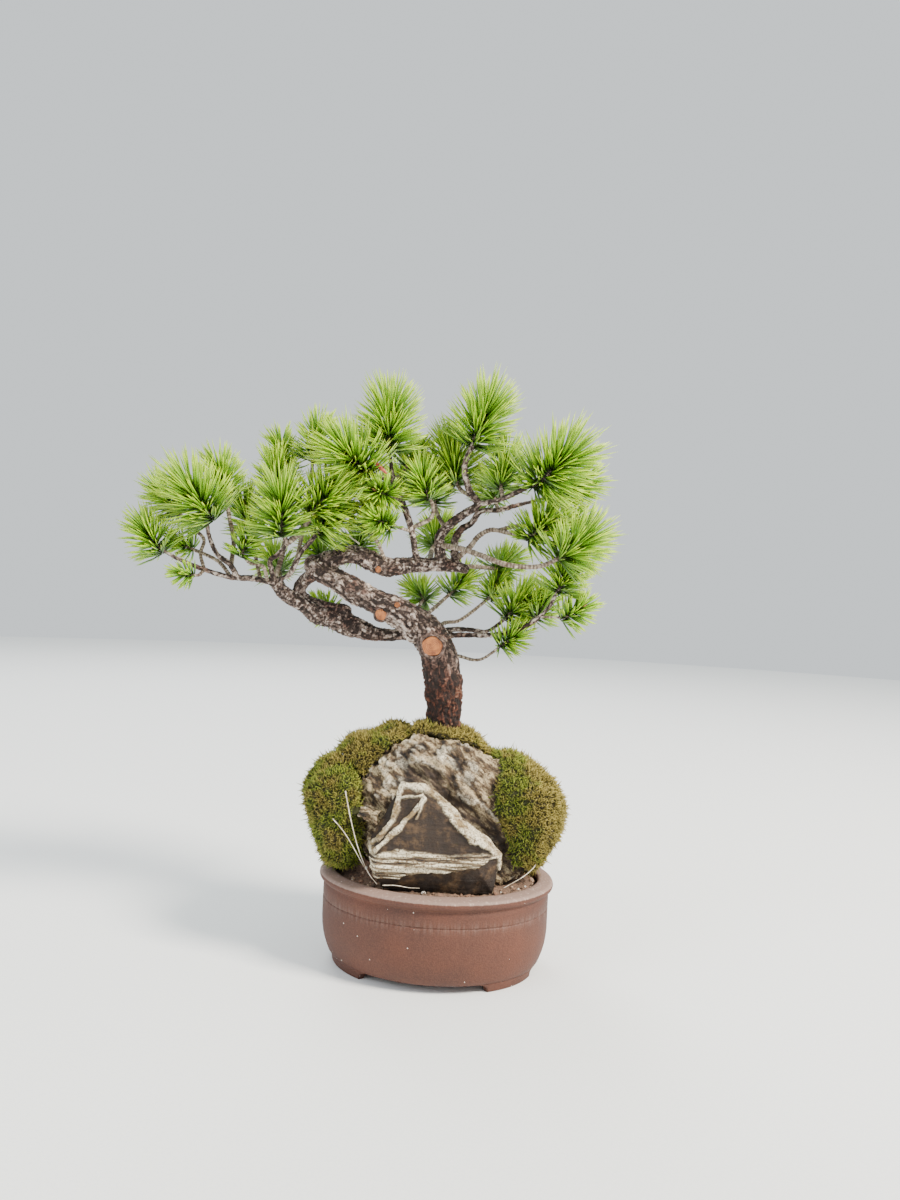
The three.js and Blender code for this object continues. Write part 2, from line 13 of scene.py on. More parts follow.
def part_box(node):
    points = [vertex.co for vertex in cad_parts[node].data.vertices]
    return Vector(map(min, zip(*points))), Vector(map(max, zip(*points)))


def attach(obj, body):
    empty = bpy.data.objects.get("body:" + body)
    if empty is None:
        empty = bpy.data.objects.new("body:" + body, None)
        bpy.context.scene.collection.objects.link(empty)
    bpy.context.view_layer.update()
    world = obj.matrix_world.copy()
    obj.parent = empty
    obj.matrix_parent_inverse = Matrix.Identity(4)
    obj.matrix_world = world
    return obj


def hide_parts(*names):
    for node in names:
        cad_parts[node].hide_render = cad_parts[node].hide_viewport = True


bl_info = {
    "name": "Pine bonsai in a bowl",
    "version": (1, 0, 0),
    "blender": (4, 5, 0),
    "location": "3D View > Sidebar > Bonsai",
    "description": "Builds the bowl, soil, moss, rocks, wood and needles of a potted pine bonsai",
    "category": "Object",
}

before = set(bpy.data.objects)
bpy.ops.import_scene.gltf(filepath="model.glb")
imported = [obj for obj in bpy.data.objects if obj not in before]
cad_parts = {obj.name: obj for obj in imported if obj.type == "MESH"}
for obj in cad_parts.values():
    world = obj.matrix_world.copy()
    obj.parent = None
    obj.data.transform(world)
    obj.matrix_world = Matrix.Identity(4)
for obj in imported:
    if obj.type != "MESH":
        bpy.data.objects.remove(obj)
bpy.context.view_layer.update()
MM = 0.001

# ---- places, all from the frame ----
BOWL_LOW, BOWL_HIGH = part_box("bowl")
BOWL_HEIGHT = BOWL_HIGH.z
BOWL_TURN = math.radians(-7)
MIDDLE = Vector(((BOWL_LOW.x + BOWL_HIGH.x) / 2, (BOWL_LOW.y + BOWL_HIGH.y) / 2, 0))
COLLAR = MIDDLE + Vector((0, 46 * MM, BOWL_HEIGHT + 194 * MM))
FORWARD_LEAN = 26 * MM
LEAN_HEIGHT = 160 * MM

# Heavy limbs as in the CAD part, from the root collar in mm: x, y, z and radius.
HEAVY_LIMBS = {
    "trunk": [
        (0, 0, -60, 30), (0, 0, -20, 34), (0, 0, 5, 32), (-1, 0, 45, 30), (-2, 0, 94, 32),
        (-6, -2, 128, 32), (-14, -5, 162, 31), (-29, -8, 191, 30), (-54, -12, 212, 28),
        (-81, -18, 229, 26), (-115, -25, 244, 22), (-148, -30, 258, 21), (-181, -35, 276, 19),
        (-208, -36, 291, 19), (-224, -35, 302, 18),
    ],
    "upper_limb": [
        (-219, -35, 297, 18), (-206, -34, 309, 16), (-187, -32, 317, 15), (-168, -28, 322, 15),
        (-147, -22, 320, 16), (-127, -17, 311, 17), (-106, -15, 305, 16), (-85, -15, 308, 15),
        (-60, -15, 311, 13), (-35, -14, 312, 12), (-11, -12, 313, 11.5), (9, -10, 311, 10),
        (24, -8, 308, 8),
    ],
    "lower_limb": [
        (-34, 5, 202, 15), (-78, 20, 193, 11), (-107, 20, 190, 11), (-136, 14, 194, 14),
        (-166, 6, 205, 18), (-191, -2, 214, 19), (-216, -8, 219, 17), (-240, -14, 233, 14),
        (-265, -20, 247, 13), (-282, -25, 260, 11.5), (-291, -30, 271, 9),
    ],
    "looping_limb": [
        (-228, -25, 287, 11.5), (-246, -12, 273, 11), (-253, -5, 256, 11), (-241, -2, 242, 12),
        (-214, 0, 231, 12.5), (-178, 0, 226, 15),
    ],
}

# Branches as in the CAD part: limb that each grows from, radius at its start and end, and its path.
BRANCHES = {
    "left_1": ("lower_limb", 6, 3, [
        (-290, -30, 270), (-325, -45, 275), (-355, -60, 275), (-395, -75, 285), (-435, -85, 300),
        (-465, -90, 315),
    ]),
    "left_2": ("left_1", 5, 3.5, [
        (-345, -55, 275), (-355, -70, 295), (-375, -75, 310), (-385, -80, 330), (-390, -85, 350),
        (-390, -90, 375),
    ]),
    "left_3": ("left_1", 3, 2.5, [(-355, -60, 275), (-380, -50, 300), (-430, -40, 320)]),
    "left_4": ("left_1", 2.5, 2, [(-395, -75, 285), (-400, -90, 275), (-410, -95, 275)]),
    "left_5": ("left_1", 2.5, 2.5, [
        (-395, -75, 285), (-405, -65, 310), (-405, -50, 335), (-430, -40, 355), (-460, -30, 385),
    ]),
    "left_6": ("left_2", 3.5, 3, [(-355, -65, 295), (-360, -35, 335), (-375, -15, 380), (-385, -10, 415)]),
    "left_7": ("left_1", 3, 2.5, [(-310, -40, 275), (-330, -10, 320), (-345, 10, 360)]),
    "left_8": ("left_1", 3, 2, [(-300, -35, 270), (-305, -60, 295), (-325, -70, 300), (-335, -80, 315)]),
    "left_9": ("lower_limb", 5.5, 3.5, [
        (-280, -35, 290), (-295, -50, 305), (-280, -65, 315), (-265, -80, 335), (-270, -100, 355),
    ]),
    "left_10": ("lower_limb", 4, 3, [(-280, -30, 290), (-280, -10, 340), (-290, 5, 390), (-300, 10, 420)]),
    "left_11": ("left_10", 3, 2.5, [(-290, 0, 375), (-290, 30, 440), (-295, 40, 470)]),
    "left_12": ("left_9", 4.5, 4, [(-270, -80, 330), (-250, -80, 345), (-235, -80, 365), (-220, -85, 390)]),
    "left_13": ("lower_limb", 5, 4, [
        (-285, -30, 275), (-265, -35, 285), (-255, -40, 305), (-245, -40, 325), (-230, -50, 340),
        (-215, -55, 360),
    ]),
    "left_14": ("left_13", 3.5, 2.5, [(-255, -25, 310), (-250, 0, 380), (-245, 15, 440), (-245, 20, 490)]),
    "left_15": ("lower_limb", 3.5, 2.5, [(-190, 5, 215), (-210, 50, 225)]),
    "left_16": ("upper_limb", 3.5, 3, [(-215, -25, 305), (-225, 35, 320)]),
    "crown_1": ("upper_limb", 7, 3.5, [
        (-55, -15, 310), (-60, -20, 330), (-70, -35, 375), (-90, -45, 425), (-100, -50, 445),
        (-105, -55, 470), (-110, -60, 505),
    ]),
    "crown_2": ("crown_1", 3.5, 2.5, [(-100, -50, 445), (-130, -70, 450), (-145, -90, 455)]),
    "crown_3": ("crown_1", 3, 2.5, [(-100, -50, 445), (-85, -30, 465), (-80, -15, 480)]),
    "crown_4": ("crown_1", 3, 2.5, [(-90, -40, 415), (-110, -65, 420)]),
    "crown_5": ("crown_1", 2.5, 2, [(-70, -30, 365), (-95, -60, 370), (-105, -70, 370)]),
    "crown_6": ("upper_limb", 3, 2.5, [(-105, -15, 310), (-120, -40, 340), (-135, -50, 365)]),
    "crown_7": ("crown_1", 3.5, 2.5, [(-70, -35, 370), (-35, -45, 390), (-35, -50, 410), (-45, -55, 425)]),
    "crown_8": ("upper_limb", 10, 4.5, [
        (-15, -10, 315), (-20, -20, 340), (-20, -20, 360), (-5, -25, 380), (20, -30, 400),
        (40, -35, 415), (25, -40, 435), (15, -50, 475), (30, -50, 520),
    ]),
    "crown_9": ("crown_8", 4, 3, [(-10, -20, 375), (-25, 0, 395), (-35, 10, 425)]),
    "crown_10": ("crown_9", 3, 2.5, [(-30, 10, 420), (-30, 50, 455)]),
    "crown_11": ("crown_8", 3.5, 3, [(30, -40, 425), (10, -20, 440), (0, -10, 460)]),
    "crown_12": ("crown_8", 5, 4, [(40, -35, 415), (70, -60, 420), (95, -75, 430), (135, -95, 450)]),
    "crown_13": ("crown_12", 3.5, 3, [(80, -65, 420), (75, -50, 450)]),
    "crown_14": ("upper_limb", 7.5, 3, [
        (10, -10, 310), (5, 0, 355), (15, 0, 375), (30, -5, 385), (45, -20, 405), (75, -5, 410),
        (105, 5, 420), (135, 15, 430), (180, 20, 445),
    ]),
    "crown_15": ("crown_14", 3, 2.5, [(75, -5, 410), (70, 40, 435)]),
    "right_1": ("crown_8", 4.5, 3, [
        (-20, -20, 345), (15, -45, 340), (45, -70, 330), (90, -95, 315), (140, -100, 315),
        (180, -95, 335),
    ]),
    "right_2": ("crown_14", 4.5, 3, [
        (15, -10, 325), (30, -10, 345), (45, -10, 365), (65, -20, 375), (95, -30, 370),
        (130, -55, 365),
    ]),
    "right_3": ("right_2", 3.5, 2.5, [(75, -25, 375), (115, -15, 385), (180, 20, 380)]),
    "right_4": ("trunk", 5, 3.5, [
        (-15, 5, 215), (10, 30, 205), (40, 40, 205), (70, 40, 205), (105, 30, 235),
    ]),
    "right_5": ("trunk", 5, 3.5, [
        (-15, 5, 200), (10, 20, 195), (80, 5, 200), (125, -20, 215), (160, -40, 245), (180, -50, 285),
    ]),
    "right_6": ("right_5", 3, 2.5, [(135, -25, 220), (150, 0, 235)]),
    "right_7": ("right_5", 2, 1.5, [(150, -35, 235), (175, -50, 235), (190, -55, 235)]),
    "right_8": ("trunk", 3, 2, [(-5, 5, 170), (20, 20, 160), (55, 20, 155), (95, -5, 185)]),
    "right_9": ("trunk", 3.5, 2.5, [(-25, 5, 215), (-5, 40, 215), (20, 70, 220), (75, 90, 265)]),
    "right_10": ("trunk", 3.5, 2.5, [(-40, 0, 235), (-20, 35, 245), (5, 70, 270)]),
    "right_11": ("trunk", 3, 2.5, [(-50, 0, 240), (-45, 60, 255)]),
    "back_1": ("upper_limb", 4.5, 3, [(-170, -20, 315), (-175, 60, 330), (-170, 100, 340)]),
    "back_2": ("upper_limb", 4.5, 3, [(-35, -10, 310), (-35, 60, 340), (-30, 110, 355)]),
    "back_3": ("upper_limb", 4, 3, [(5, -10, 315), (45, 50, 315), (85, 90, 315)]),
    "back_4": ("lower_limb", 3.5, 3, [(-260, -20, 245), (-290, 40, 270), (-305, 75, 295)]),
    "back_5": ("crown_1", 3.5, 3, [(-80, -40, 400), (-90, 40, 425), (-95, 80, 445)]),
}

# Radius of each branch's needle tuft, in mm, as in the CAD part.
TUFT_RADII = {
    25: ("left_4",),
    30: ("left_3",),
    35: ("left_8", "left_15", "crown_3", "crown_5", "right_7", "right_8", "right_9"),
    40: ("left_11", "left_16", "crown_4", "crown_6", "right_6", "right_10", "right_11"),
    45: ("left_1", "left_5", "left_7", "left_14", "crown_7", "crown_9", "crown_10", "crown_15",
        "right_3", "back_1", "back_3", "back_4", "back_5"),
    50: ("left_6", "left_10", "left_13", "crown_13", "crown_14", "right_2", "right_4", "right_5",
        "back_2"),
    60: ("left_9", "left_12", "crown_11", "right_1"),
    65: ("left_2", "crown_1", "crown_2", "crown_8"),
    70: ("crown_12",),
}

# Dry roots and stalks, and reddened scales: radius and path in mm from under the bowl's middle.
DRY_ROOTS = [
    (1.0, [(-148, -90, 293), (-137, -100, 254), (-122, -105, 208), (-103, -112, 172), (-90, -115, 158)]),
    (0.8, [(-165, -95, 250), (-150, -99, 236), (-137, -105, 221), (-111, -112, 182)]),
    (0.8, [(-81, -120, 158), (-60, -124, 160), (-40, -122, 157), (-24, -122, 157)]),
    (0.8, [(160, -60, 187), (154, -70, 181), (136, -90, 172), (106, -110, 160)]),
    (1.6, [(-154, 0, 686), (-162, 0, 692), (-170, 0, 697), (-177, 0, 705)]),
]
RED_BRACTS = [
    (3.4, [(-132, -90, 814), (-124, -90, 808), (-115, -90, 800), (-107, -90, 793)]),
]

SEED = 20260

# ---- colours and nodes ----


def linear(value):
    """An sRGB hex colour as linear red, green, blue and alpha."""
    channels = [int(value[i : i + 2], 16) / 255 for i in (1, 3, 5)]
    return tuple(c / 12.92 if c <= 0.04045 else ((c + 0.055) / 1.055) ** 2.4 for c in channels) + (1,)


def add(material, kind, inputs, output=0, stops=(), **settings):
    """Adds a shader node and gives one of its output sockets.

    inputs holds what goes into each input, by name or number: a socket, a number or a hex colour.
    stops are a ramp's places and hex colours."""
    node = material.node_tree.nodes.new("ShaderNode" + kind)
    for name, value in settings.items():
        setattr(node, name, value)
    for name, value in inputs.items():
        if isinstance(value, bpy.types.NodeSocket):
            material.node_tree.links.new(value, node.inputs[name])
        else:
            node.inputs[name].default_value = linear(value) if isinstance(value, str) else value
    for i, (place, colour) in enumerate(stops):
        elements = node.color_ramp.elements
        element = elements[i] if i < len(elements) else elements.new(place)
        element.position = place
        element.color = linear(colour)
    return node.outputs[output]


def new_material(name):
    """An empty material, and its object coordinates in metres."""
    material = bpy.data.materials.new(name)
    material.use_nodes = True
    material.node_tree.nodes.clear()
    return material, add(material, "TexCoord", {}, "Object")


def finished(material, height, depth_mm, **shader):
    """Joins the shader, whose sockets are given by name, and a height that dents it by depth_mm."""
    normal = add(material, "Bump", {"Height": height, "Distance": depth_mm * MM})
    inputs = {name.replace("_", " "): value for name, value in shader.items()}
    shaded = add(material, "BsdfPrincipled", {**inputs, "Normal": normal})
    output = material.node_tree.nodes.new("ShaderNodeOutputMaterial")
    material.node_tree.links.new(shaded, output.inputs["Surface"])
    return material


# ---- meshes ----


def piece(name, co, faces, materials, nodes=(), smooth=True, values=None, material_numbers=None):
    """A mesh object that rides on the root body and may stand for CAD nodes.

    co holds corners in metres and faces a list of arrays of corner numbers, one array for each
    number of sides. values holds one number for each corner under each attribute's name."""
    co = np.asarray(co, np.float32)
    faces = [np.asarray(f, np.int32) for f in faces if len(f)]
    sides = np.concatenate([np.full(len(f), f.shape[1]) for f in faces])
    loops = np.concatenate([f.ravel() for f in faces])
    mesh = bpy.data.meshes.new(name)
    mesh.vertices.add(len(co))
    mesh.vertices.foreach_set("co", co.ravel())
    mesh.loops.add(len(loops))
    mesh.loops.foreach_set("vertex_index", loops)
    mesh.polygons.add(len(sides))
    mesh.polygons.foreach_set("loop_start", np.concatenate(([0], np.cumsum(sides)[:-1])).astype(np.int32))
    mesh.update(calc_edges=True)
    mesh.polygons.foreach_set("use_smooth", np.full(len(sides), smooth))
    if material_numbers is not None:
        mesh.polygons.foreach_set("material_index", np.asarray(material_numbers, np.int32))
    for key, numbers in (values or {}).items():
        layer = mesh.attributes.new(key, "FLOAT", "POINT")
        layer.data.foreach_set("value", np.asarray(numbers, np.float32))
    for material in materials:
        mesh.materials.append(material)
    made = bpy.data.objects.new(name, mesh)
    bpy.context.scene.collection.objects.link(made)
    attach(made, "root")
    if nodes:
        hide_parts(*nodes)
    return made


def applied(made):
    """Turns the object's modifiers into its mesh."""
    evaluated = made.evaluated_get(bpy.context.evaluated_depsgraph_get())
    mesh = bpy.data.meshes.new_from_object(evaluated)
    made.modifiers.clear()
    made.data = mesh


def even_skin(co, faces, voxel_mm):
    """Corners and four-cornered faces of an even skin over closed meshes that may overlap."""
    mesh = bpy.data.meshes.new("raw")
    mesh.from_pydata([tuple(p) for p in co], [], [list(map(int, f)) for f in faces])
    raw = bpy.data.objects.new("raw", mesh)
    bpy.context.scene.collection.objects.link(raw)
    modifier = raw.modifiers.new("skin", "REMESH")
    modifier.mode = "VOXEL"
    modifier.voxel_size = voxel_mm * MM
    skin = raw.evaluated_get(bpy.context.evaluated_depsgraph_get()).to_mesh()
    out = np.empty(len(skin.vertices) * 3, np.float32)
    skin.vertices.foreach_get("co", out)
    loops = np.empty(len(skin.loops), np.int32)
    skin.loops.foreach_get("vertex_index", loops)
    bpy.data.objects.remove(raw)
    return out.reshape(-1, 3).astype(float), loops.reshape(-1, 4)


def node_skin(name, voxel_mm):
    """An even skin over one CAD node."""
    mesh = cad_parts[name].data
    return even_skin([v.co for v in mesh.vertices], [p.vertices for p in mesh.polygons], voxel_mm)


def smoothed(co, faces, times):
    """Corners moved half way to the middle of their neighbours, several times over."""
    edges = np.concatenate([faces[:, [i, (i + 1) % 4]] for i in range(4)])
    edges = np.unique(np.sort(edges, axis=1), axis=0)
    count = np.bincount(edges.ravel(), minlength=len(co))[:, None]
    for _ in range(times):
        total = np.zeros_like(co)
        for axis in range(3):
            total[:, axis] = np.bincount(edges[:, 0], co[edges[:, 1], axis], len(co))
            total[:, axis] += np.bincount(edges[:, 1], co[edges[:, 0], axis], len(co))
        co = 0.5 * co + 0.5 * total / count
    return co


def normals(co, faces):
    """Outward normals at the corners of a mesh of four-cornered faces."""
    across = np.cross(co[faces[:, 2]] - co[faces[:, 0]], co[faces[:, 3]] - co[faces[:, 1]])
    total = np.zeros_like(co)
    for i in range(4):
        for axis in range(3):
            total[:, axis] += np.bincount(faces[:, i], across[:, axis], len(co))
    return total / np.maximum(np.linalg.norm(total, axis=1, keepdims=True), 1e-12)


def fractal(points, size_mm, octaves=4, seed=0.0):
    """Smooth noise from about -1 to 1, its largest features size_mm across."""
    scale = 1 / (size_mm * MM)
    return np.array([noise.fractal(Vector(p) * scale + Vector((seed, 9.3, -seed)), 0.9, 2.1, octaves)
                     for p in points])


def plates(points, size_mm, seed=0.0):
    """How far each point is inside its plate, 0 at the border, and a random number for each plate.

    Plates are about size_mm across."""
    scale = 1 / (size_mm * MM)
    found = [noise.voronoi(Vector(p) * scale + Vector((seed, 3.1, -seed))) for p in points]
    inside = np.array([far[1] - far[0] for far, _ in found])
    chance = np.array([math.sin(heart[0].dot((12.9, 78.2, 37.7))) * 4375.8 % 1 for _, heart in found])
    return inside, chance


def far_from_path(spots, path):
    """How far each of the flat spots (x, z) is from a path of straight runs."""
    nearest = np.full(len(spots), 1e9)
    for a, b in zip(np.array(path[:-1], float), np.array(path[1:], float)):
        run = b - a
        share = np.clip((spots - a) @ run / (run @ run), 0, 1)
        nearest = np.minimum(nearest, np.linalg.norm(spots - a - share[:, None] * run, axis=1))
    return nearest


def eased(value, low, high):
    """0 below low, 1 above high, and a smooth step between."""
    t = np.clip((value - low) / (high - low), 0, 1)
    return t * t * (3 - 2 * t)


def tree_over(names):
    """A search tree over CAD nodes' meshes."""
    co, faces = [], []
    for name in names:
        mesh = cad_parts[name].data
        base = len(co)
        co += [v.co.copy() for v in mesh.vertices]
        faces += [[base + i for i in p.vertices] for p in mesh.polygons]
    return BVHTree.FromPolygons(co, faces)


def scattered(co, faces, spacing_mm, draw):
    """Places and normals at random on a mesh of four-cornered faces, one for each spacing_mm square."""
    across = np.cross(co[faces[:, 2]] - co[faces[:, 0]], co[faces[:, 3]] - co[faces[:, 1]])
    areas = 0.5 * np.linalg.norm(across, axis=1)
    count = int(areas.sum() / (spacing_mm * MM) ** 2)
    picked = draw.choice(len(faces), count, p=areas / areas.sum())
    s, t = draw.random((2, count, 1))
    a, b, c, d = (co[faces[picked, i]] for i in range(4))
    spots = (1 - s) * ((1 - t) * a + t * d) + s * ((1 - t) * b + t * c)
    out = across[picked]
    return spots, out / np.linalg.norm(out, axis=1, keepdims=True)


# ---- wood: middle lines and tubes ----


def from_collar(point):
    """A place given in mm from the root collar, in the frame, with the trunk's forward lean."""
    x, y, z = point[:3]
    share = min(max(z * MM / LEAN_HEIGHT, 0), 1)
    lean = FORWARD_LEAN * share * share * (3 - 2 * share)
    return COLLAR + Vector((x * MM, y * MM - lean, z * MM))


def curve_points(points, step):
    """Points about `step` apart on a smooth curve through `points`, and where along them each is."""
    ends = [2 * points[0] - points[1], *points, 2 * points[-1] - points[-2]]
    out, places = [], []
    for i in range(1, len(ends) - 2):
        p = ends[i - 1 : i + 3]
        knots = [0.0]
        for a, b in zip(p, p[1:]):
            knots.append(knots[-1] + max((b - a).length, 1e-9) ** 0.5)
        count = max(2, round((p[2] - p[1]).length / step))
        for k in range(count):
            t = knots[1] + (knots[2] - knots[1]) * k / count
            level = p
            for reach in (1, 2):
                level = [((knots[j + reach] - t) * level[j] + (t - knots[j]) * level[j + 1])
                         / (knots[j + reach] - knots[j]) for j in range(len(level) - 1)]
            out.append(((knots[2] - t) * level[0] + (t - knots[1]) * level[1]) / (knots[2] - knots[1]))
            places.append(i - 1 + k / count)
    return out + [points[-1].copy()], places + [len(points) - 1]


def limb_lines(step):
    """Each heavy limb's and each branch's middle line, and its radius at each point of it."""
    lines = {}
    for name, points in HEAVY_LIMBS.items():
        line, places = curve_points([from_collar(p) for p in points], step)
        lines[name] = (line, np.interp(places, range(len(points)), [p[3] * MM for p in points]))
    for name, (parent, start, end, path) in BRANCHES.items():
        points = [from_collar(p) for p in path]
        points[0] = min(lines[parent][0], key=lambda p: (p - points[0]).length)
        line, places = curve_points(points, step)
        lines[name] = (line, np.interp(places, (0, len(points) - 1), (start * MM, end * MM)))
    return lines


def turning_frames(line):
    """At each point: the line's direction, and two directions across it that turn as little as they can."""
    along = [(b - a).normalized() for a, b in zip(line, line[1:])]
    along.append(along[-1])
    across = along[0].orthogonal().normalized()
    out = []
    for t in along:
        across = (across - across.dot(t) * t).normalized()
        out.append((t, across, t.cross(across)))
    return out


class Gathered:
    """Collects closed tubes and lathed forms into one mesh with attributes."""

    def __init__(self):
        self.co, self.quads, self.tris, self.values = [], [], [], {}
        self.quad_material, self.tri_material = [], []

    def rings(self, rings, first_tip, last_tip, values=None, material=0):
        """A closed skin over rings of points, ending in a point each way."""
        base, sides = len(self.co), len(rings[0])
        for ring in rings:
            self.co += ring
        self.co += [first_tip, last_tip]
        last = base + (len(rings) - 1) * sides
        for k in range(sides):
            n = (k + 1) % sides
            for i in range(len(rings) - 1):
                a = base + i * sides
                self.quads.append((a + k, a + n, a + sides + n, a + sides + k))
            self.tris.append((base + n, base + k, last + sides))
            self.tris.append((last + k, last + n, last + sides + 1))
        self.quad_material += [material] * (sides * (len(rings) - 1))
        self.tri_material += [material] * (2 * sides)
        for key, numbers in (values or {}).items():
            spread = np.repeat(np.broadcast_to(numbers, len(rings)), sides)
            self.values.setdefault(key, []).extend([*spread, spread[0], spread[-1]])

    def tube(self, line, radii, sides, values=None, wobble=None, material=0):
        """A round tube along a line of points; wobble(step, side) scales its radius."""
        turns, rings = turning_frames(line), []
        for i, (point, (_, u, v)) in enumerate(zip(line, turns)):
            angles = [2 * math.pi * k / sides for k in range(sides)]
            scales = [float(radii[i] * (wobble(i, k) if wobble else 1)) for k in range(sides)]
            rings.append([point + r * (math.cos(a) * u + math.sin(a) * v) for a, r in zip(angles, scales)])
        first = line[0] - turns[0][0] * float(0.4 * radii[0])
        self.rings(rings, first, line[-1] + turns[-1][0] * float(0.5 * radii[-1]), values, material)

    def lathed(self, profile, centre, axis, sides, values=None, material=0, wobble=None):
        """A round form about an axis through centre; profile holds (radius, height) in metres."""
        across = axis.orthogonal().normalized()
        over = axis.cross(across)
        rings = []
        for i, (r, h) in enumerate(profile):
            ring = []
            for k in range(sides):
                a = 2 * math.pi * k / sides
                scale = float(r * (wobble(i, k) if wobble else 1))
                ring.append(centre + axis * float(h) + scale * (math.cos(a) * across + math.sin(a) * over))
            rings.append(ring)
        ends = [centre + axis * float(h) for h in (profile[0][1], profile[-1][1])]
        self.rings(rings, *ends, values, material)

    def piece(self, name, materials, slot, nodes=(), smooth=True):
        numbers = self.quad_material + self.tri_material
        return piece(name, self.co, [self.quads, self.tris], materials, nodes, smooth,
                     self.values, numbers)


# ---- materials ----


LIP_HIGHLIGHT_FROM = 0.35  # the share of lime and lip highlight above which the clay is whitened all over as a painted highlight, and not only in runs


def fired_stoneware(settings):
    """Iron-bearing stoneware, fired unglazed: a dry, finely sandy skin with a soft drift of colour."""
    m, spot = new_material("fired_stoneware")
    drift = add(m, "TexNoise", {"Vector": spot, "Scale": 1 / (90 * MM), "Detail": 3})
    body = add(m, "ValToRGB", {0: drift}, stops=[(0.3, settings.clay_dark), (0.7, settings.clay_light)])
    # fine sand about 2 mm apart: drawn coarser than it is, so that it shows
    sand = add(m, "TexNoise", {"Vector": spot, "Scale": 1 / (2.2 * MM), "Detail": 3})
    grain = add(m, "ValToRGB", {0: sand}, stops=[(0.35, "#371B11"), (0.68, "#724734")])
    body = add(m, "Mix", {0: 0.28, 6: body, 7: grain}, 2, data_type="RGBA")
    # white grit: specks about 1 mm wide, some 18 mm apart
    far = add(m, "TexVoronoi", {"Vector": spot, "Scale": 1 / (18 * MM)}, "Distance")
    speck = add(m, "Math", {0: far, 1: 0.05}, operation="LESS_THAN")
    body = add(m, "Mix", {0: speck, 6: body, 7: "#E9DACB"}, 2, data_type="RGBA")
    # lime from hard water: faint runs under the lip; on the lip's top the runs are painted highlight
    tall = add(m, "Mapping", {"Vector": spot, "Scale": (1 / (4 * MM), 1 / (4 * MM), 1 / (40 * MM))})
    streaks = add(m, "TexNoise", {"Vector": tall, "Scale": 1.0, "Detail": 5})
    runs = add(m, "ValToRGB", {0: streaks}, stops=[(0.4, "#000000"), (0.8, "#FFFFFF")])
    lime_and_lip_highlight = add(m, "Attribute", {}, "Fac", attribute_name="lime_and_lip_highlight")
    share = add(m, "Math", {0: runs, 1: lime_and_lip_highlight}, operation="MULTIPLY")
    # and a painted highlight all over the lip's top, where the share is high
    lip_highlight = add(m, "Math", {0: lime_and_lip_highlight, 1: LIP_HIGHLIGHT_FROM}, operation="SUBTRACT")
    share = add(m, "Math", {0: share, 1: lip_highlight}, operation="MAXIMUM")
    body = add(m, "Mix", {0: share, 6: body, 7: "#DCC6B8"}, 2, data_type="RGBA")
    rough = add(m, "MapRange", {0: drift, 3: 0.62, 4: 0.78})
    return finished(m, sand, 0.35, Base_Color=body, Roughness=rough)


def pine_bark(settings):
    """Old pine bark, grown in flaking plates: weathered grey over red-brown cork, with the cork and the
    cracks darkened further as painted shade.
    """
    m, spot = new_material("pine_bark")
    flake = add(m, "TexNoise", {"Vector": spot, "Scale": 1 / (6 * MM), "Detail": 7, "Roughness": 0.65})
    chance = add(m, "Attribute", {}, "Fac", attribute_name="chance")
    worn = add(m, "Mix", {0: 0.34, 2: flake, 3: chance}, 0, data_type="FLOAT")
    grey = add(m, "ValToRGB", {0: worn},
               stops=[(0.34, "#1C110D"), (0.45, settings.bark_grey), (0.55, "#87746A"), (0.66, "#CBBDB1")])
    # the red cork is drawn darker than it is, as painted shade on the lower trunk
    red = add(m, "ValToRGB", {0: worn},
              stops=[(0.34, "#100704"), (0.47, settings.bark_red_and_shade), (0.6, "#5C3120"), (0.74, "#9C7B66")])
    foot = add(m, "Attribute", {}, "Fac", attribute_name="foot")
    skin = add(m, "Mix", {0: foot, 6: grey, 7: red}, 2, data_type="RGBA")
    plate = add(m, "Attribute", {}, "Fac", attribute_name="plate")
    # dark in the cracks between plates: dark inner bark, and painted shade in the cracks
    crack_and_shade = add(m, "ValToRGB", {0: plate}, stops=[(0.05, "#FFFFFF"), (0.6, "#000000")])
    colour = add(m, "Mix", {0: crack_and_shade, 6: skin, 7: "#1D110C"}, 2, data_type="RGBA")
    return finished(m, flake, 2.2, Base_Color=colour, Roughness=0.88)


def young_bark(settings):
    """Young pine shoots: buff bark ringed by the dark stubs of shed needle scales."""
    m, spot = new_material("young_bark")
    blotch = add(m, "TexNoise", {"Vector": spot, "Scale": 1 / (6 * MM), "Detail": 5})
    buff = add(m, "ValToRGB", {0: blotch},
               stops=[(0.32, "#66513F"), (0.5, settings.twig_buff), (0.68, "#CDBCA6")])
    stub = add(m, "Attribute", {}, "Fac", attribute_name="stub")
    colour = add(m, "Mix", {0: stub, 6: buff, 7: "#3A2A20"}, 2, data_type="RGBA")
    fine = add(m, "TexNoise", {"Vector": spot, "Scale": 1 / (1.5 * MM), "Detail": 3})
    return finished(m, fine, 0.5, Base_Color=colour, Roughness=0.8)


def cut_wood():
    """Sawn pine, weathered: orange-brown heartwood with darker growth rings."""
    m, spot = new_material("cut_wood")
    ring = add(m, "Attribute", {}, "Fac", attribute_name="ring")
    rings = add(m, "ValToRGB", {0: ring}, stops=[(0.0, "#8A4720"), (0.5, "#C07C42"), (1.0, "#955428")])
    stain = add(m, "TexNoise", {"Vector": spot, "Scale": 1 / (9 * MM), "Detail": 5})
    dark = add(m, "ValToRGB", {0: stain}, stops=[(0.4, "#000000"), (0.72, "#FFFFFF")])
    colour = add(m, "Mix", {0: dark, 6: rings, 7: "#6E3A22"}, 2, data_type="RGBA")
    return finished(m, ring, 0.5, Base_Color=colour, Roughness=0.68)


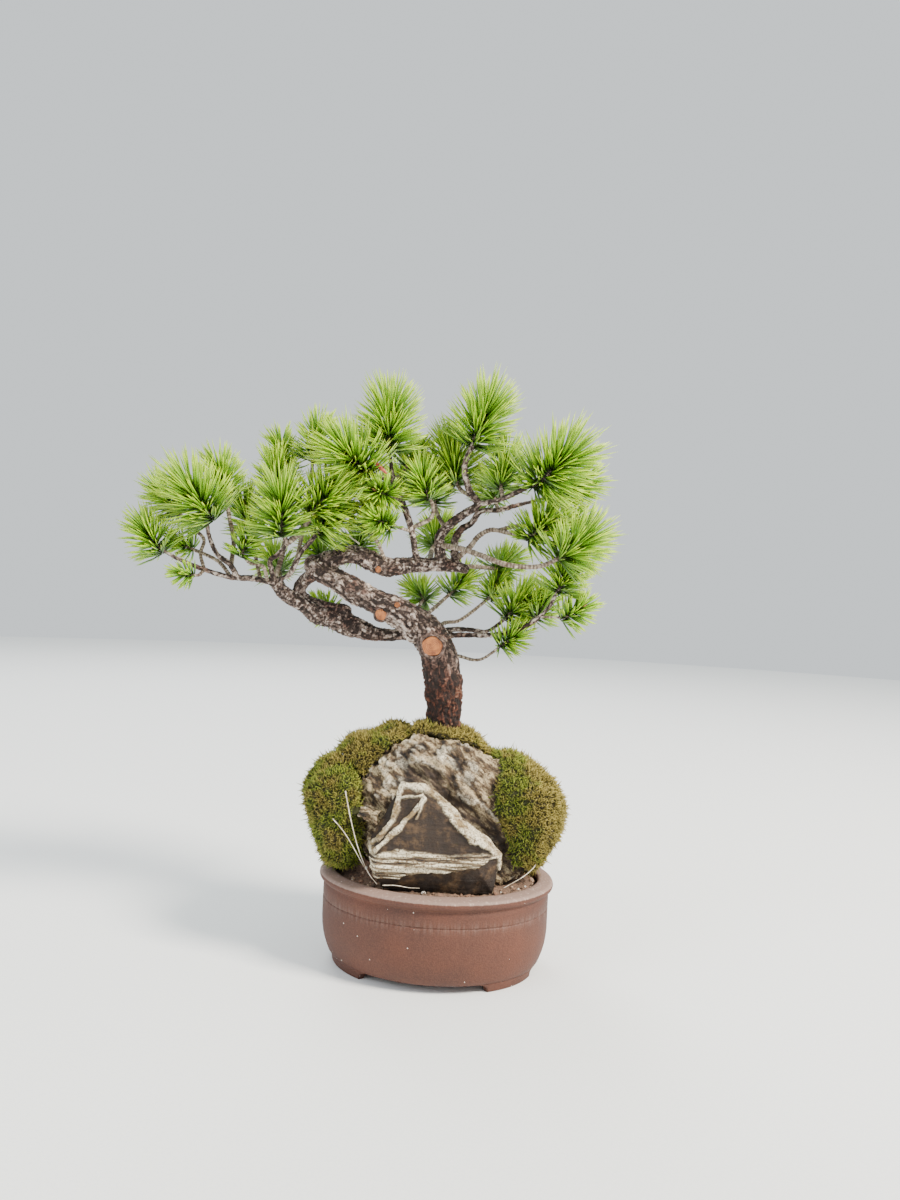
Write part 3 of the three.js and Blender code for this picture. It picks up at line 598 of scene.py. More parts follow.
def pine_needle(settings):
    """Pine needles: waxy and stiff, dark by the shoot and bright yellow-green to the tip."""
    m, spot = new_material("pine_needle")
    along = add(m, "Attribute", {}, "Fac", attribute_name="along")
    fresh = add(m, "ValToRGB", {0: along}, stops=[
        (0.0, "#4A5A22"), (0.14, settings.needle_dark), (0.5, settings.needle_mid),
        (1.0, settings.needle_tip)])
    old = add(m, "ValToRGB", {0: along}, stops=[(0.0, "#2E3F17"), (0.3, "#47692A"), (1.0, "#86A553")])
    tone = add(m, "Attribute", {}, "Fac", attribute_name="tone")
    colour = add(m, "Mix", {0: tone, 6: fresh, 7: old}, 2, data_type="RGBA")
    # fine lines of pores run the length of a needle
    fine = add(m, "TexNoise", {"Vector": spot, "Scale": 1 / (1.2 * MM), "Detail": 2})
    return finished(m, fine, 0.1, Base_Color=colour, Roughness=0.42, Subsurface_Weight=0.1,
                    Subsurface_Radius=(0.5 * MM, 1.0 * MM, 0.2 * MM), Subsurface_Scale=1.0)


def live_moss(settings):
    """Cushion moss: bright tips where it grows, straw-brown where it has dried."""
    m, spot = new_material("live_moss")
    along = add(m, "Attribute", {}, "Fac", attribute_name="along")
    green = add(m, "ValToRGB", {0: along},
                stops=[(0.0, "#20230A"), (0.5, settings.moss_green), (1.0, settings.moss_tip)])
    brown = add(m, "ValToRGB", {0: along},
                stops=[(0.0, "#241A0A"), (0.5, "#6C611C"), (1.0, settings.moss_dry)])
    patch = add(m, "TexNoise", {"Vector": spot, "Scale": 1 / (34 * MM), "Detail": 5})
    dryness = add(m, "Attribute", {}, "Fac", attribute_name="dry")
    both = add(m, "Math", {0: patch, 1: dryness}, operation="ADD")
    dry = add(m, "ValToRGB", {0: both}, stops=[(0.86, "#000000"), (1.12, "#FFFFFF")])
    colour = add(m, "Mix", {0: dry, 6: green, 7: brown}, 2, data_type="RGBA")
    tone = add(m, "Attribute", {}, "Fac", attribute_name="tone")
    colour = add(m, "Mix", {0: tone, 6: colour, 7: "#2B2A10"}, 2, data_type="RGBA")
    tuft = add(m, "TexNoise", {"Vector": spot, "Scale": 1 / (3 * MM), "Detail": 5})
    return finished(m, tuft, 1.2, Base_Color=colour, Roughness=0.85)


STREAK_FALL = 40  # degrees below level, to the right


def field_stone(settings):
    """A frost-worn boulder: brown-grey, with cream streaks that fall to the right."""
    m, spot = new_material("field_stone")
    # its grain falls to the right, 40 mm long and 13 mm wide
    grain = add(m, "Mapping", {"Vector": spot, "Rotation": (0, math.radians(STREAK_FALL), 0),
                               "Scale": (40 * MM, 20 * MM, 13 * MM)}, vector_type="TEXTURE")
    cloud = add(m, "TexNoise", {"Vector": grain, "Scale": 1.0, "Detail": 9, "Roughness": 0.68})
    base = add(m, "ValToRGB", {0: cloud},
               stops=[(0.4, "#160E08"), (0.49, settings.stone_mid), (0.58, "#BCA985")])
    streak = add(m, "Attribute", {}, "Fac", attribute_name="streak")
    worn = add(m, "TexNoise", {"Vector": spot, "Scale": 1 / (7 * MM), "Detail": 6, "Roughness": 0.7})
    broken = add(m, "ValToRGB", {0: worn}, stops=[(0.38, "#000000"), (0.6, "#FFFFFF")])
    share = add(m, "Math", {0: streak, 1: broken}, operation="MULTIPLY")
    pale = add(m, "Mix", {0: share, 6: base, 7: settings.stone_vein}, 2, data_type="RGBA")
    fine = add(m, "TexNoise", {"Vector": spot, "Scale": 1 / (2.6 * MM), "Detail": 5, "Roughness": 0.7})
    pits = add(m, "ValToRGB", {0: fine}, stops=[(0.36, "#FFFFFF"), (0.5, "#000000")])
    pitted = add(m, "Mix", {0: pits, 6: pale, 7: "#2C221B"}, 2, data_type="RGBA")
    # painted shade: the stone is darkened near the hollow's path
    hollow_shade = add(m, "Attribute", {}, "Fac", attribute_name="hollow_shade")
    hollow_shaded = add(m, "Mix", {0: 0.6, 6: pitted, 7: "#31261F"}, 2, data_type="RGBA")
    colour = add(m, "Mix", {0: hollow_shade, 6: pitted, 7: hollow_shaded}, 2, data_type="RGBA")
    return finished(m, fine, 2.2, Base_Color=colour, Roughness=0.8)


def split_slate(settings):
    """A split slate slab: rusty dark faces between worn, cream-white layered edges."""
    m, spot = new_material("split_slate")
    cloud = add(m, "TexNoise", {"Vector": spot, "Scale": 1 / (22 * MM), "Detail": 8, "Roughness": 0.62})
    dark = add(m, "ValToRGB", {0: cloud},
               stops=[(0.34, "#1E150F"), (0.52, settings.slate_face), (0.7, "#5A442B")])
    # layers about 4 mm thick, and 15 times as long
    flat = add(m, "Mapping", {"Vector": spot, "Scale": (1 / (60 * MM), 1 / (60 * MM), 1 / (4.2 * MM))})
    layers = add(m, "TexNoise", {"Vector": flat, "Scale": 1.0, "Detail": 6, "Roughness": 0.65})
    lined = add(m, "ValToRGB", {0: layers},
                stops=[(0.41, "#1F160F"), (0.48, "#8A795C"), (0.56, settings.slate_edge)])
    band = add(m, "Attribute", {}, "Fac", attribute_name="band")
    tan = add(m, "ValToRGB", {0: cloud}, stops=[(0.4, "#8A7550"), (0.56, settings.slate_edge)])
    pale = add(m, "Mix", {0: band, 6: tan, 7: lined}, 2, data_type="RGBA")
    fine = add(m, "TexNoise", {"Vector": spot, "Scale": 1 / (3.2 * MM), "Detail": 6, "Roughness": 0.7})
    rust = add(m, "ValToRGB", {0: fine}, stops=[(0.4, "#FFFFFF"), (0.52, "#000000")])
    pale = add(m, "Mix", {0: rust, 6: pale, 7: "#5A452F"}, 2, data_type="RGBA")
    edge = add(m, "Attribute", {}, "Fac", attribute_name="edge")
    colour = add(m, "Mix", {0: edge, 6: dark, 7: pale}, 2, data_type="RGBA")
    height = add(m, "Math", {0: fine, 1: layers}, operation="ADD")
    return finished(m, height, 1.6, Base_Color=colour, Roughness=0.78)


def damp_grit():
    """Bonsai soil: baked clay, pumice and bark in grains, darker where damp."""
    m, spot = new_material("damp_grit")
    tone = add(m, "Attribute", {}, "Fac", attribute_name="tone")
    grains = add(m, "ValToRGB", {0: tone}, stops=[
        (0.0, "#3A2A21"), (0.4, "#6B5040"), (0.65, "#9A7059"), (0.85, "#BFA58C"), (1.0, "#EDE6DA")])
    fine = add(m, "TexNoise", {"Vector": spot, "Scale": 1 / (2 * MM), "Detail": 5})
    mottle = add(m, "ValToRGB", {0: fine}, stops=[(0.35, "#2D2119"), (0.7, "#A38E78")])
    colour = add(m, "Mix", {0: 0.3, 6: grains, 7: mottle}, 2, data_type="RGBA")
    return finished(m, fine, 0.6, Base_Color=colour, Roughness=0.9)


def dry_stalk():
    """Dead surface roots and grass stalks, bleached nearly white."""
    m, spot = new_material("dry_stalk")
    blotch = add(m, "TexNoise", {"Vector": spot, "Scale": 1 / (8 * MM), "Detail": 4})
    colour = add(m, "ValToRGB", {0: blotch}, stops=[(0.35, "#A3937C"), (0.62, "#E6DECD")])
    return finished(m, blotch, 0.3, Base_Color=colour, Roughness=0.72)


def red_bract():
    """Dead needles and bud scales, dried brick red."""
    m, spot = new_material("red_bract")
    blotch = add(m, "TexNoise", {"Vector": spot, "Scale": 1 / (5 * MM), "Detail": 4})
    colour = add(m, "ValToRGB", {0: blotch}, stops=[(0.35, "#7A2C1E"), (0.65, "#C8644A")])
    return finished(m, blotch, 0.3, Base_Color=colour, Roughness=0.6)


def bud_scale():
    """Resinous winter buds: pale brown overlapping scales with a little gloss."""
    m, spot = new_material("bud_scale")
    flat = add(m, "TexNoise", {"Vector": spot, "Scale": 1 / (2 * MM), "Detail": 3})
    colour = add(m, "ValToRGB", {0: flat}, stops=[(0.35, "#6B4526"), (0.65, "#C49A64")])
    return finished(m, flat, 0.5, Base_Color=colour, Roughness=0.45)


def screen_plastic():
    """Moulded polyethylene mesh, dull black, with a satin drag of dust."""
    m, spot = new_material("screen_plastic")
    dust = add(m, "TexNoise", {"Vector": spot, "Scale": 1 / (6 * MM), "Detail": 4})
    colour = add(m, "ValToRGB", {0: dust}, stops=[(0.35, "#1B1E1B"), (0.7, "#3B403A")])
    rough = add(m, "MapRange", {0: dust, 3: 0.5, 4: 0.75})
    return finished(m, dust, 0.1, Base_Color=colour, Roughness=rough)


def plain_paper(settings):
    """Matt seamless background paper, with its faint fibre."""
    m, spot = new_material("plain_paper")
    fibre = add(m, "TexNoise", {"Vector": spot, "Scale": 1 / (4 * MM), "Detail": 2})
    tint = add(m, "ValToRGB", {0: fibre}, stops=[(0.3, settings.paper), (0.7, settings.paper_light)])
    return finished(m, fibre, 0.05, Base_Color=tint, Roughness=0.95, Specular_IOR_Level=0.1)


# ---- settings ----
LENGTH = {"subtype": "DISTANCE", "unit": "LENGTH"}
COLOUR_HELP = "sRGB hex colour"


class BonsaiBowlSettings(bpy.types.PropertyGroup):
    """The bowl and the soil in it."""

    steps: bpy.props.IntProperty(name="Steps round", description="Mesh steps round the bowl", default=256)
    clay_dark: bpy.props.StringProperty(name="Dark clay", description=COLOUR_HELP, default="#3F2117")
    clay_light: bpy.props.StringProperty(name="Light clay", description=COLOUR_HELP, default="#5B3121")
    grain: bpy.props.FloatProperty(
        name="Soil grain", description="Middling size of a soil grain", default=4.4 * MM, **LENGTH)
    grain_spacing: bpy.props.FloatProperty(
        name="Grain spacing", description="Millimetres between loose grains", default=6.0)


class BonsaiMossSettings(bpy.types.PropertyGroup):
    """The moss cushions."""

    stem: bpy.props.FloatProperty(
        name="Stem", description="Length of a moss stem", default=8.5 * MM, **LENGTH)
    spacing: bpy.props.FloatProperty(
        name="Stem spacing", description="Millimetres between moss stems", default=2.1)
    moss_green: bpy.props.StringProperty(name="Moss", description=COLOUR_HELP, default="#4B5A0B")
    moss_tip: bpy.props.StringProperty(name="Moss tips", description=COLOUR_HELP, default="#AFBE34")
    moss_dry: bpy.props.StringProperty(name="Dry moss tips", description=COLOUR_HELP, default="#C9B75A")


class BonsaiRockSettings(bpy.types.PropertyGroup):
    """The two boulders and the slate slab."""

    stone_mid: bpy.props.StringProperty(name="Boulder", description=COLOUR_HELP, default="#5C4831")
    stone_vein: bpy.props.StringProperty(name="Boulder streaks", description=COLOUR_HELP, default="#EADFC6")
    slate_face: bpy.props.StringProperty(name="Slate faces", description=COLOUR_HELP, default="#281A0D")
    slate_edge: bpy.props.StringProperty(name="Slate edges", description=COLOUR_HELP, default="#EDE2C4")


class BonsaiWoodSettings(bpy.types.PropertyGroup):
    """The trunk and the branches."""

    skin: bpy.props.FloatProperty(
        name="Bark detail", description="Mesh step on the bark, in millimetres", default=1.7)
    plate: bpy.props.FloatProperty(
        name="Bark plate", description="Width of one plate of bark", default=10 * MM, **LENGTH)
    relief: bpy.props.FloatProperty(
        name="Bark relief", description="Depth of the cracks between plates", default=3.4 * MM, **LENGTH)
    bark_grey: bpy.props.StringProperty(name="Grey bark", description=COLOUR_HELP, default="#3E2F27")
    # drawn darker than the cork is, as painted shade on the lower trunk
    bark_red_and_shade: bpy.props.StringProperty(name="Red bark", description=COLOUR_HELP, default="#24110A")
    twig_buff: bpy.props.StringProperty(name="Twig bark", description=COLOUR_HELP, default="#8D7E6E")


class BonsaiNeedleSettings(bpy.types.PropertyGroup):
    """The needles."""

    width: bpy.props.FloatProperty(
        name="Needle width", description="Width of one needle", default=2.8 * MM, **LENGTH)
    pairs: bpy.props.IntProperty(
        name="Needle pairs", description="Pairs of needles in a tuft of 50 mm radius", default=130)
    needle_dark: bpy.props.StringProperty(name="Needle base", description=COLOUR_HELP, default="#437012")
    needle_mid: bpy.props.StringProperty(name="Needle middle", description=COLOUR_HELP, default="#86BC14")
    needle_tip: bpy.props.StringProperty(name="Needle tip", description=COLOUR_HELP, default="#CAE522")


class BonsaiStageSettings(bpy.types.PropertyGroup):
    """The floor, the light and the camera."""

    paper: bpy.props.StringProperty(name="Paper", description=COLOUR_HELP, default="#EEF1F0")
    paper_light: bpy.props.StringProperty(name="Paper fibre", description=COLOUR_HELP, default="#F3F5F4")
    key_watts: bpy.props.FloatProperty(name="Key light", description="Power, in watts", default=1250.0)
    sky: bpy.props.FloatProperty(
        name="Sky", description="Strength of the light from all round", default=1.1)


# ---- bowl ----


def bowl_profile(high):
    """The bowl's section, up its outside and down its inside: (half length, height) in mm."""
    outside = [(0, 13), (120, 13), (154, 13), (165, 13.1), (169.5, 13.8), (172, 15.5), (175.6, 21)]
    outside += [(178.4, 28), (181.6, 37), (184.2, 47), (186, 58)]
    outside += [(187, z) for z in (71, 84, 96, 103.6)]
    scratched_line = [(186.8, 104.6), (185.6, 105.6), (185.4, 106.6), (186.6, 107.4), (187, 108.4)]
    outside += scratched_line + [(187, z) for z in (112, 117, 122)]
    outside += [(186.6, 126), (185.4, 129.5), (185, 132)]
    roll = high - 2 - 7.2
    lip = [(186.9 + 7.1 * math.cos(a), roll + 7.2 * math.sin(a))
           for a in np.radians(np.linspace(-70, 80, 15))]
    # down the inside, as depths below the lip's top
    inside = [(r, high - down) for r, down in (
        (180, 0.8), (174.5, 0), (170.8, 0.6), (168.6, 2.2), (168, 5), (168.2, 9), (170, 13), (173.6, 18),
        (175, 30))]
    inside += [(174.5, 90), (173, 55), (168, 36), (157, 26), (120, 25), (0, 25)]
    return outside + lip + inside


# In mm: half the length of the opening inside the lip, and how much less half the bowl's width is.
OPENING, NARROWER = 168, 35
# In degrees round the bowl, where one half's two runs of the foot ring begin and end.
FOOT_RUNS = ((14.5, 52.5), (127.5, 165.5))


def oval_spot(r, angle, z):
    """A place on the bowl, r mm out along its length."""
    outline = max(r, OPENING)
    flat = Vector((r * math.cos(angle), r * math.sin(angle) * (outline - NARROWER) / outline, z))
    return MIDDLE + Matrix.Rotation(BOWL_TURN, 3, "Z") @ flat * MM


def foot(gathered, start, end):
    """One foot: a run of the foot ring whose ends sweep up to the bowl's underside."""
    sweep, rise, under = 20.0, 11.0, 13.6
    section = [(154.2, 4), (154.6, 1.2), (155.8, 0.2), (157.5, 0), (165, 0), (166.6, 0.4), (167.8, 1.8)]
    section += [(168.4, 7), (169.2, 11), (170.6, 14.4), (162, 15), (154, 14.6)]
    middle_radius = 152
    length = (end - start) * middle_radius + 2 * sweep
    shares = np.concatenate((np.linspace(0, sweep, 14), np.linspace(sweep + 0.5, length / 2, 8)))
    rings = []
    for near in [*shares, *(length - shares[-2::-1])]:
        angle = start + (near - sweep) / middle_radius
        short = min(near, length - near)
        lift = under - rise + rise * math.sqrt(1 - (short / sweep) ** 2) if short < sweep else 0
        rings.append([oval_spot(r, angle, max(z, min(lift, under))) for r, z in section])
    ends = [sum(ring, Vector()) / len(ring) for ring in (rings[0], rings[-1])]
    gathered.rings(rings, *ends, values={"lime_and_lip_highlight": 0.0})


class BONSAI_OT_bowl(bpy.types.Operator):
    """Builds the bowl, its feet and its drain holes, and finishes the drain screens"""

    bl_idname = "bonsai.bowl"
    bl_label = "Bowl"

    def execute(self, context):
        settings = context.scene.bonsai_bowl
        steps = settings.steps
        gathered = Gathered()
        rings, lime_and_lip_highlight = [], []
        for r, z in bowl_profile(BOWL_HEIGHT / MM):
            rings.append([oval_spot(max(r, 0.5), 2 * math.pi * k / steps, z) for k in range(steps)])
            # a little lime along the scratched line, and a painted highlight on the lip's top
            lime_and_lip_highlight.append(0.12 * max(0, 1 - abs(z - 107) / 12) + 0.6 * (z > 144) * (r > 165))
        ends = [sum(ring, Vector()) / steps for ring in (rings[0], rings[-1])]
        gathered.rings(rings, *ends, values={"lime_and_lip_highlight": lime_and_lip_highlight})
        bowl = gathered.piece("bowl_stoneware", [fired_stoneware(settings)], "stoneware", ["bowl"])
        drain_radius = 12 * MM
        for side in ("left", "right"):
            low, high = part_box("drain_screen_" + side)
            hole = ((low.x + high.x) / 2, (low.y + high.y) / 2, 13 * MM)
            bpy.ops.mesh.primitive_cylinder_add(
                vertices=40, radius=drain_radius, depth=60 * MM, location=hole)
            drill = context.object
            modifier = bowl.modifiers.new("drain", "BOOLEAN")
            modifier.object = drill
            modifier.solver = "EXACT"
            applied(bowl)
            bpy.data.objects.remove(drill)
        feet = Gathered()
        for half_turn in (0, 180):
            for first, last in FOOT_RUNS:
                foot(feet, math.radians(first + half_turn), math.radians(last + half_turn))
        feet.piece("bowl_feet", [bowl.data.materials[0]], "stoneware")
        plastic = screen_plastic()
        for side in ("left", "right"):
            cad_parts["drain_screen_" + side].data.materials[0] = plastic
        return {"FINISHED"}


# ---- soil ----


class BONSAI_OT_soil(bpy.types.Operator):
    """Roughens the soil and scatters loose grains over it"""

    bl_idname = "bonsai.soil"
    bl_label = "Soil"

    def execute(self, context):
        settings = context.scene.bonsai_bowl
        grit = damp_grit()
        draw = np.random.default_rng(SEED)
        co, faces = node_skin("soil", 2.8)
        out = normals(co, faces)
        lumps = fractal(co, 14, 3) * 1.6 + plates(co, 5)[0] * 2.2 - 0.9
        open_air = eased(co[:, 2], BOWL_HEIGHT - 22 * MM, BOWL_HEIGHT - 12 * MM)
        co += out * (lumps * open_air * MM)[:, None]
        tone = np.clip(0.35 + 0.3 * fractal(co, 6, 3, 5.0), 0, 1)
        piece("soil_mound", co, [faces], [grit], ["soil"], values={"tone": tone})
        covers = tree_over(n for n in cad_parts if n.startswith(("moss", "rock", "trunk")))
        ball = bpy.data.meshes.new("ball")
        shape = bmesh.new()
        bmesh.ops.create_icosphere(shape, subdivisions=1, radius=1)
        shape.to_mesh(ball)
        unit = np.array([v.co for v in ball.vertices])
        sides = np.array([p.vertices[:] for p in ball.polygons])
        spots, ups = scattered(co, faces, settings.grain_spacing, draw)
        corners, tris, tones = [], [], []
        # from black grit to pale pumice, and how often each comes
        shades, shares = (0.05, 0.3, 0.5, 0.62, 0.8, 1.0), (0.2, 0.28, 0.2, 0.15, 0.1, 0.07)
        for spot, up in zip(spots, ups):
            if spot[2] < BOWL_HEIGHT - 13 * MM or covers.ray_cast(Vector(spot), Vector(up), 0.025)[0]:
                continue
            if abs(spot[2] - BOWL_HEIGHT) < 14 * MM and oval_share(spot) > 0.97:
                continue
            size = settings.grain * draw.lognormal(0, 0.34) * 0.5
            squeezed = unit * (size * draw.uniform(0.6, 1.15, 3)) * draw.uniform(0.8, 1.15, (len(unit), 1))
            turn = np.array(Matrix.Rotation(draw.uniform(0, 6.28), 3, Vector(draw.normal(size=3))))
            tris.append(sides + len(unit) * len(corners))
            corners.append(squeezed @ turn + spot + up * size * 0.3)
            tones += [draw.choice(shades, p=shares)] * len(unit)
        piece("soil_grains", np.concatenate(corners), [np.concatenate(tris)], [grit],
              smooth=False, values={"tone": tones})
        return {"FINISHED"}


def oval_share(spot):
    """How far out in the bowl's opening a place is: 0 in the middle, 1 at the inner edge of the lip."""
    flat = Matrix.Rotation(-BOWL_TURN, 3, "Z") @ (Vector(spot) - MIDDLE)
    return math.hypot(flat.x / (OPENING * MM), flat.y / ((OPENING - NARROWER) * MM))


# ---- moss ----


def stems(spots, ups, length, draw):
    """Short bent three-sided stems standing on places of a surface: corners, faces and shares along."""
    count = len(spots)
    lean = draw.normal(size=(count, 3)) * 0.5
    grow = ups + lean
    grow /= np.linalg.norm(grow, axis=1, keepdims=True)
    across = np.cross(grow, draw.normal(size=(count, 3)))
    across /= np.linalg.norm(across, axis=1, keepdims=True)
    over = np.cross(grow, across)
    # one stem in fourteen has run up out of the cushion
    stray = 0.75 * (draw.random(count) < 0.07)
    long = (length * (draw.uniform(0.45, 1.2, count) + stray))[:, None]
    width = 0.6 * MM * draw.uniform(0.8, 1.5, (count, 1))
    parts = []
    for share, wide, bend in ((-0.15, 1.0, 0.0), (0.5, 1.25, 0.1)):
        middle = spots + grow * long * share + lean * long * bend
        for k in range(3):
            angle = 2 * math.pi * k / 3
            parts.append(middle + width * wide * (math.cos(angle) * across + math.sin(angle) * over))
    parts.append(spots + grow * long + lean * long * 0.25)
    co = np.stack(parts, axis=1).reshape(-1, 3)
    base = np.arange(count)[:, None] * 7
    quads = np.concatenate([base + [k, (k + 1) % 3, 3 + (k + 1) % 3, 3 + k] for k in range(3)])
    tips = np.concatenate([base + [3 + k, 3 + (k + 1) % 3, 6] for k in range(3)] + [base + [2, 1, 0]])
    return co, quads, tips, np.tile([0.0, 0, 0, 0.55, 0.55, 0.55, 1.0], count)


class BONSAI_OT_moss(bpy.types.Operator):
    """Grows the moss cushions: a lumpy core covered in short stems"""

    bl_idname = "bonsai.moss"
    bl_label = "Moss"

    def execute(self, context):
        settings = context.scene.bonsai_moss
        moss = live_moss(settings)
        dry = {"moss_left": 0.4, "moss_upper": 0.5, "moss_crown": 0.62, "moss_right": 0.36,
               "moss_back": 0.4}
        draw = np.random.default_rng(SEED + 1)
        for name, dryness in dry.items():
            co, faces = node_skin(name, 2.8)
            co = smoothed(co, faces, 6)
            out = normals(co, faces)
            inset = -0.45 * settings.stem / MM
            bumps = fractal(co, 34, 3, 2.0) * 4.0 + fractal(co, 11, 2, 4.0) * 2.0
            co += out * ((inset + bumps) * MM)[:, None]
            out = normals(co, faces)
            others = tree_over(
                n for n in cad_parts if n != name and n.startswith(("moss", "rock", "soil")))
            # the one behind is by far the largest, so its stems stand a little further apart
            spacing = settings.spacing * (1.1 if name == "moss_back" else 1)
            spots, ups = scattered(co, faces, spacing, draw)
            seen = [i for i, (s, u) in enumerate(zip(spots, ups))
                    if not others.ray_cast(Vector(s), Vector(u), 0.02)[0]
                    and not (s[2] < BOWL_HEIGHT and u[2] < 0)]
            spots, ups = spots[seen], ups[seen]
            blades, quads, tips, along = stems(spots, ups, settings.stem, draw)
            base = len(co)
            every = np.concatenate((co, blades))
            # the right-hand cushion gets drier to its right
            dried = np.full(len(every), dryness)
            if name == "moss_right":
                low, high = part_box(name)
                across = (every[:, 0] - low.x) / (high.x - low.x)
                dried += 0.35 * eased(across, 0.3, 0.85)
            tone = np.concatenate((np.full(base, 0.35), np.repeat(draw.uniform(0, 0.6, len(spots)), 7)))
            along = np.concatenate((np.full(base, 0.1), along))
            piece(name + "_cushion", every, [np.concatenate((faces, quads + base)), tips + base],
                  [moss], [name], values={"along": along, "dry": dried, "tone": tone})
        return {"FINISHED"}


# ---- rocks ----
# Places on the rocks' fronts as (x, z) in mm from under the bowl's middle.
BOULDER_HOLLOW = [(-56, 326), (-12, 316), (33, 265), (65, 248), (104, 216), (126, 180)]
# The slate's pale edges: half their width, and their path.
SLATE_EDGES = [
    (5.5, [(-62, 308), (-26, 308), (-1, 294), (24, 266)]),
    (7.5, [(24, 264), (52, 240), (83, 225), (101, 206), (104, 190)]),
    (3.5, [(-62, 304), (-70, 258), (-104, 216), (-106, 180)]),
    (3.8, [(-22, 292), (-60, 248), (-100, 208)]),
    (1.8, [(-64, 290), (-26, 296)]),
    (1.6, [(-24, 290), (-30, 272), (-34, 262)]),
]
SLATE_BAND_TOP = [(-104, 204), (-61, 216), (-20, 213), (24, 210), (69, 215), (104, 205)]
SLATE_BAND_BOTTOM = [(-104, 164), (-65, 169), (-41, 177), (16, 184), (61, 191), (78, 202), (104, 206)]


class BONSAI_OT_rocks(bpy.types.Operator):
    """Weathers the boulders and the slate slab"""

    bl_idname = "bonsai.rocks"
    bl_label = "Rocks"

    def execute(self, context):
        settings = context.scene.bonsai_rocks
        stone, slate = field_stone(settings), split_slate(settings)
        # streaks run down to the right, 4 times as long as they are wide
        slope = Matrix.Rotation(math.radians(-STREAK_FALL), 3, "Y")
        for name in ("rock_large", "rock_small"):
            co, faces = node_skin(name, 2.2)
            co = smoothed(co, faces, 3)
            out = normals(co, faces)
            turned = (co - np.array(MIDDLE)) @ np.array(slope).T
            bands = fractal(turned * (0.25, 1, 1), 12, 4, 6.0)
            pits = eased(plates(co, 15, 2.0)[0], 0, 0.35) * eased(fractal(co, 40, 2, 3.0), -0.4, 0.3)
            rough = fractal(co, 42, 5, 1.0) * 5.2 + bands * 4.2 + (pits - 0.5) * 4.2
            rough += fractal(co, 9, 3, 7.0) * 1.2
            flat = ((co - np.array(MIDDLE)) / MM)[:, (0, 2)]
            # a hollow along this path: the large boulder's front is dented there, and the rocks are darkened
            # there as painted shade
            hollow = 1 - eased(far_from_path(flat, BOULDER_HOLLOW), 2, 26)
            rough -= 9 * hollow * eased(-out[:, 1], 0.1, 0.5) * (name == "rock_large")
            co += out * ((rough - 2.2) * MM)[:, None]
            streak = eased(bands + 0.6 * fractal(co, 50, 2, 8.0) - 0.5 * hollow, 0.1, 0.75)
            piece(name + "_stone", co, [faces], [stone], [name],
                  values={"streak": streak, "hollow_shade": np.clip(hollow, 0, 1)})
        co, faces = node_skin("rock_slate", 1.6)
        co = smoothed(co, faces, 1)
        out = normals(co, faces)
        flat = ((co - np.array(MIDDLE)) / MM)[:, (0, 2)]
        flat += np.stack([fractal(co, 14, 3, seed) for seed in (9.0, 10.0)], axis=1) * 2.2
        edge = np.zeros(len(co))
        for half_width, path in SLATE_EDGES:
            worn = half_width * (1 + 0.45 * fractal(co, 18, 3, 21.0))
            edge = np.maximum(edge, 1 - eased(far_from_path(flat, path), worn - 1.2, worn + 1.2))
        top = np.interp(flat[:, 0], *zip(*SLATE_BAND_TOP))
        bottom = np.interp(flat[:, 0], *zip(*SLATE_BAND_BOTTOM))
        band = eased(flat[:, 1], bottom - 1.5, bottom + 1.5) * (1 - eased(flat[:, 1], top - 1.5, top + 1.5))
        strata = fractal(co * (0.12, 0.3, 1), 5, 3, 3.0)
        front = eased(-out[:, 1], -0.2, 0.15)
        edge = front * np.maximum(edge, band) + (1 - front) * eased(fractal(co, 24, 4, 5.0), -0.2, 0.3)
        rough = fractal(co, 26, 5, 4.0) * 2.0 + strata * (0.5 + 2.6 * band) + 4.2 * edge * front - 1.6
        co += out * ((rough - 1.6) * MM)[:, None]
        piece("rock_slate_slab", co, [faces], [slate], ["rock_slate"],
              values={"edge": edge, "band": band * front})
        return {"FINISHED"}


# ---- wood ----
BARK_STRETCH = 2.3  # a plate's length along the limb over its width
BARKED = 5  # in mm: branches of this radius and more have old bark, and thinner ones are shoots
# Healed cuts: each one's place, as (x, z) in mm from under the bowl's middle, and its radius.
CUTS = [((-24.5, 523), 19), ((-111, 571), 10.5), ((-120, 645), 5.5), ((-85, 588), 5)]


def skin_on_lines(lines, names, settings):
    """A bark skin over the thick limbs: its corners, faces, and how each corner lies in its plate."""
    raw = Gathered()
    for name in names:
        line, radii = lines[name]
        way, last = (line[-1] - line[-2]).normalized(), radii[-1]
        dome = (0.4, 0.7, 0.9, 0.98)
        ended = line + [line[-1] + way * float(last * share) for share in dome]
        raw.tube(ended, [*radii, *(last * math.sqrt(1 - share**2) for share in dome)],
                 24 if name in HEAVY_LIMBS else 12)
    co, faces = even_skin(raw.co, raw.quads + raw.tris, settings.skin)
    co = smoothed(co, faces, 4)
    marks = []
    for number, name in enumerate(names):
        line, radii = lines[name]
        far = 0.0
        for i, (point, turn) in enumerate(zip(line, turning_frames(line))):
            far += (point - line[i - 1]).length if i else 0
            marks.append((point, turn, far, radii[i], number))
    near = KDTree(len(marks))
    for i, mark in enumerate(marks):
        near.insert(mark[0], i)
    near.balance()
    places, radius = [], []
    for corner in co:
        point, turn, far, r, number = marks[near.find(corner)[1]]
        off = Vector(corner) - point
        stretched = (far + off.dot(turn[0])) / BARK_STRETCH
        places.append((stretched + number, off.dot(turn[1]), off.dot(turn[2])))
        radius.append(r)
    return co, faces, np.array(places), np.array(radius)


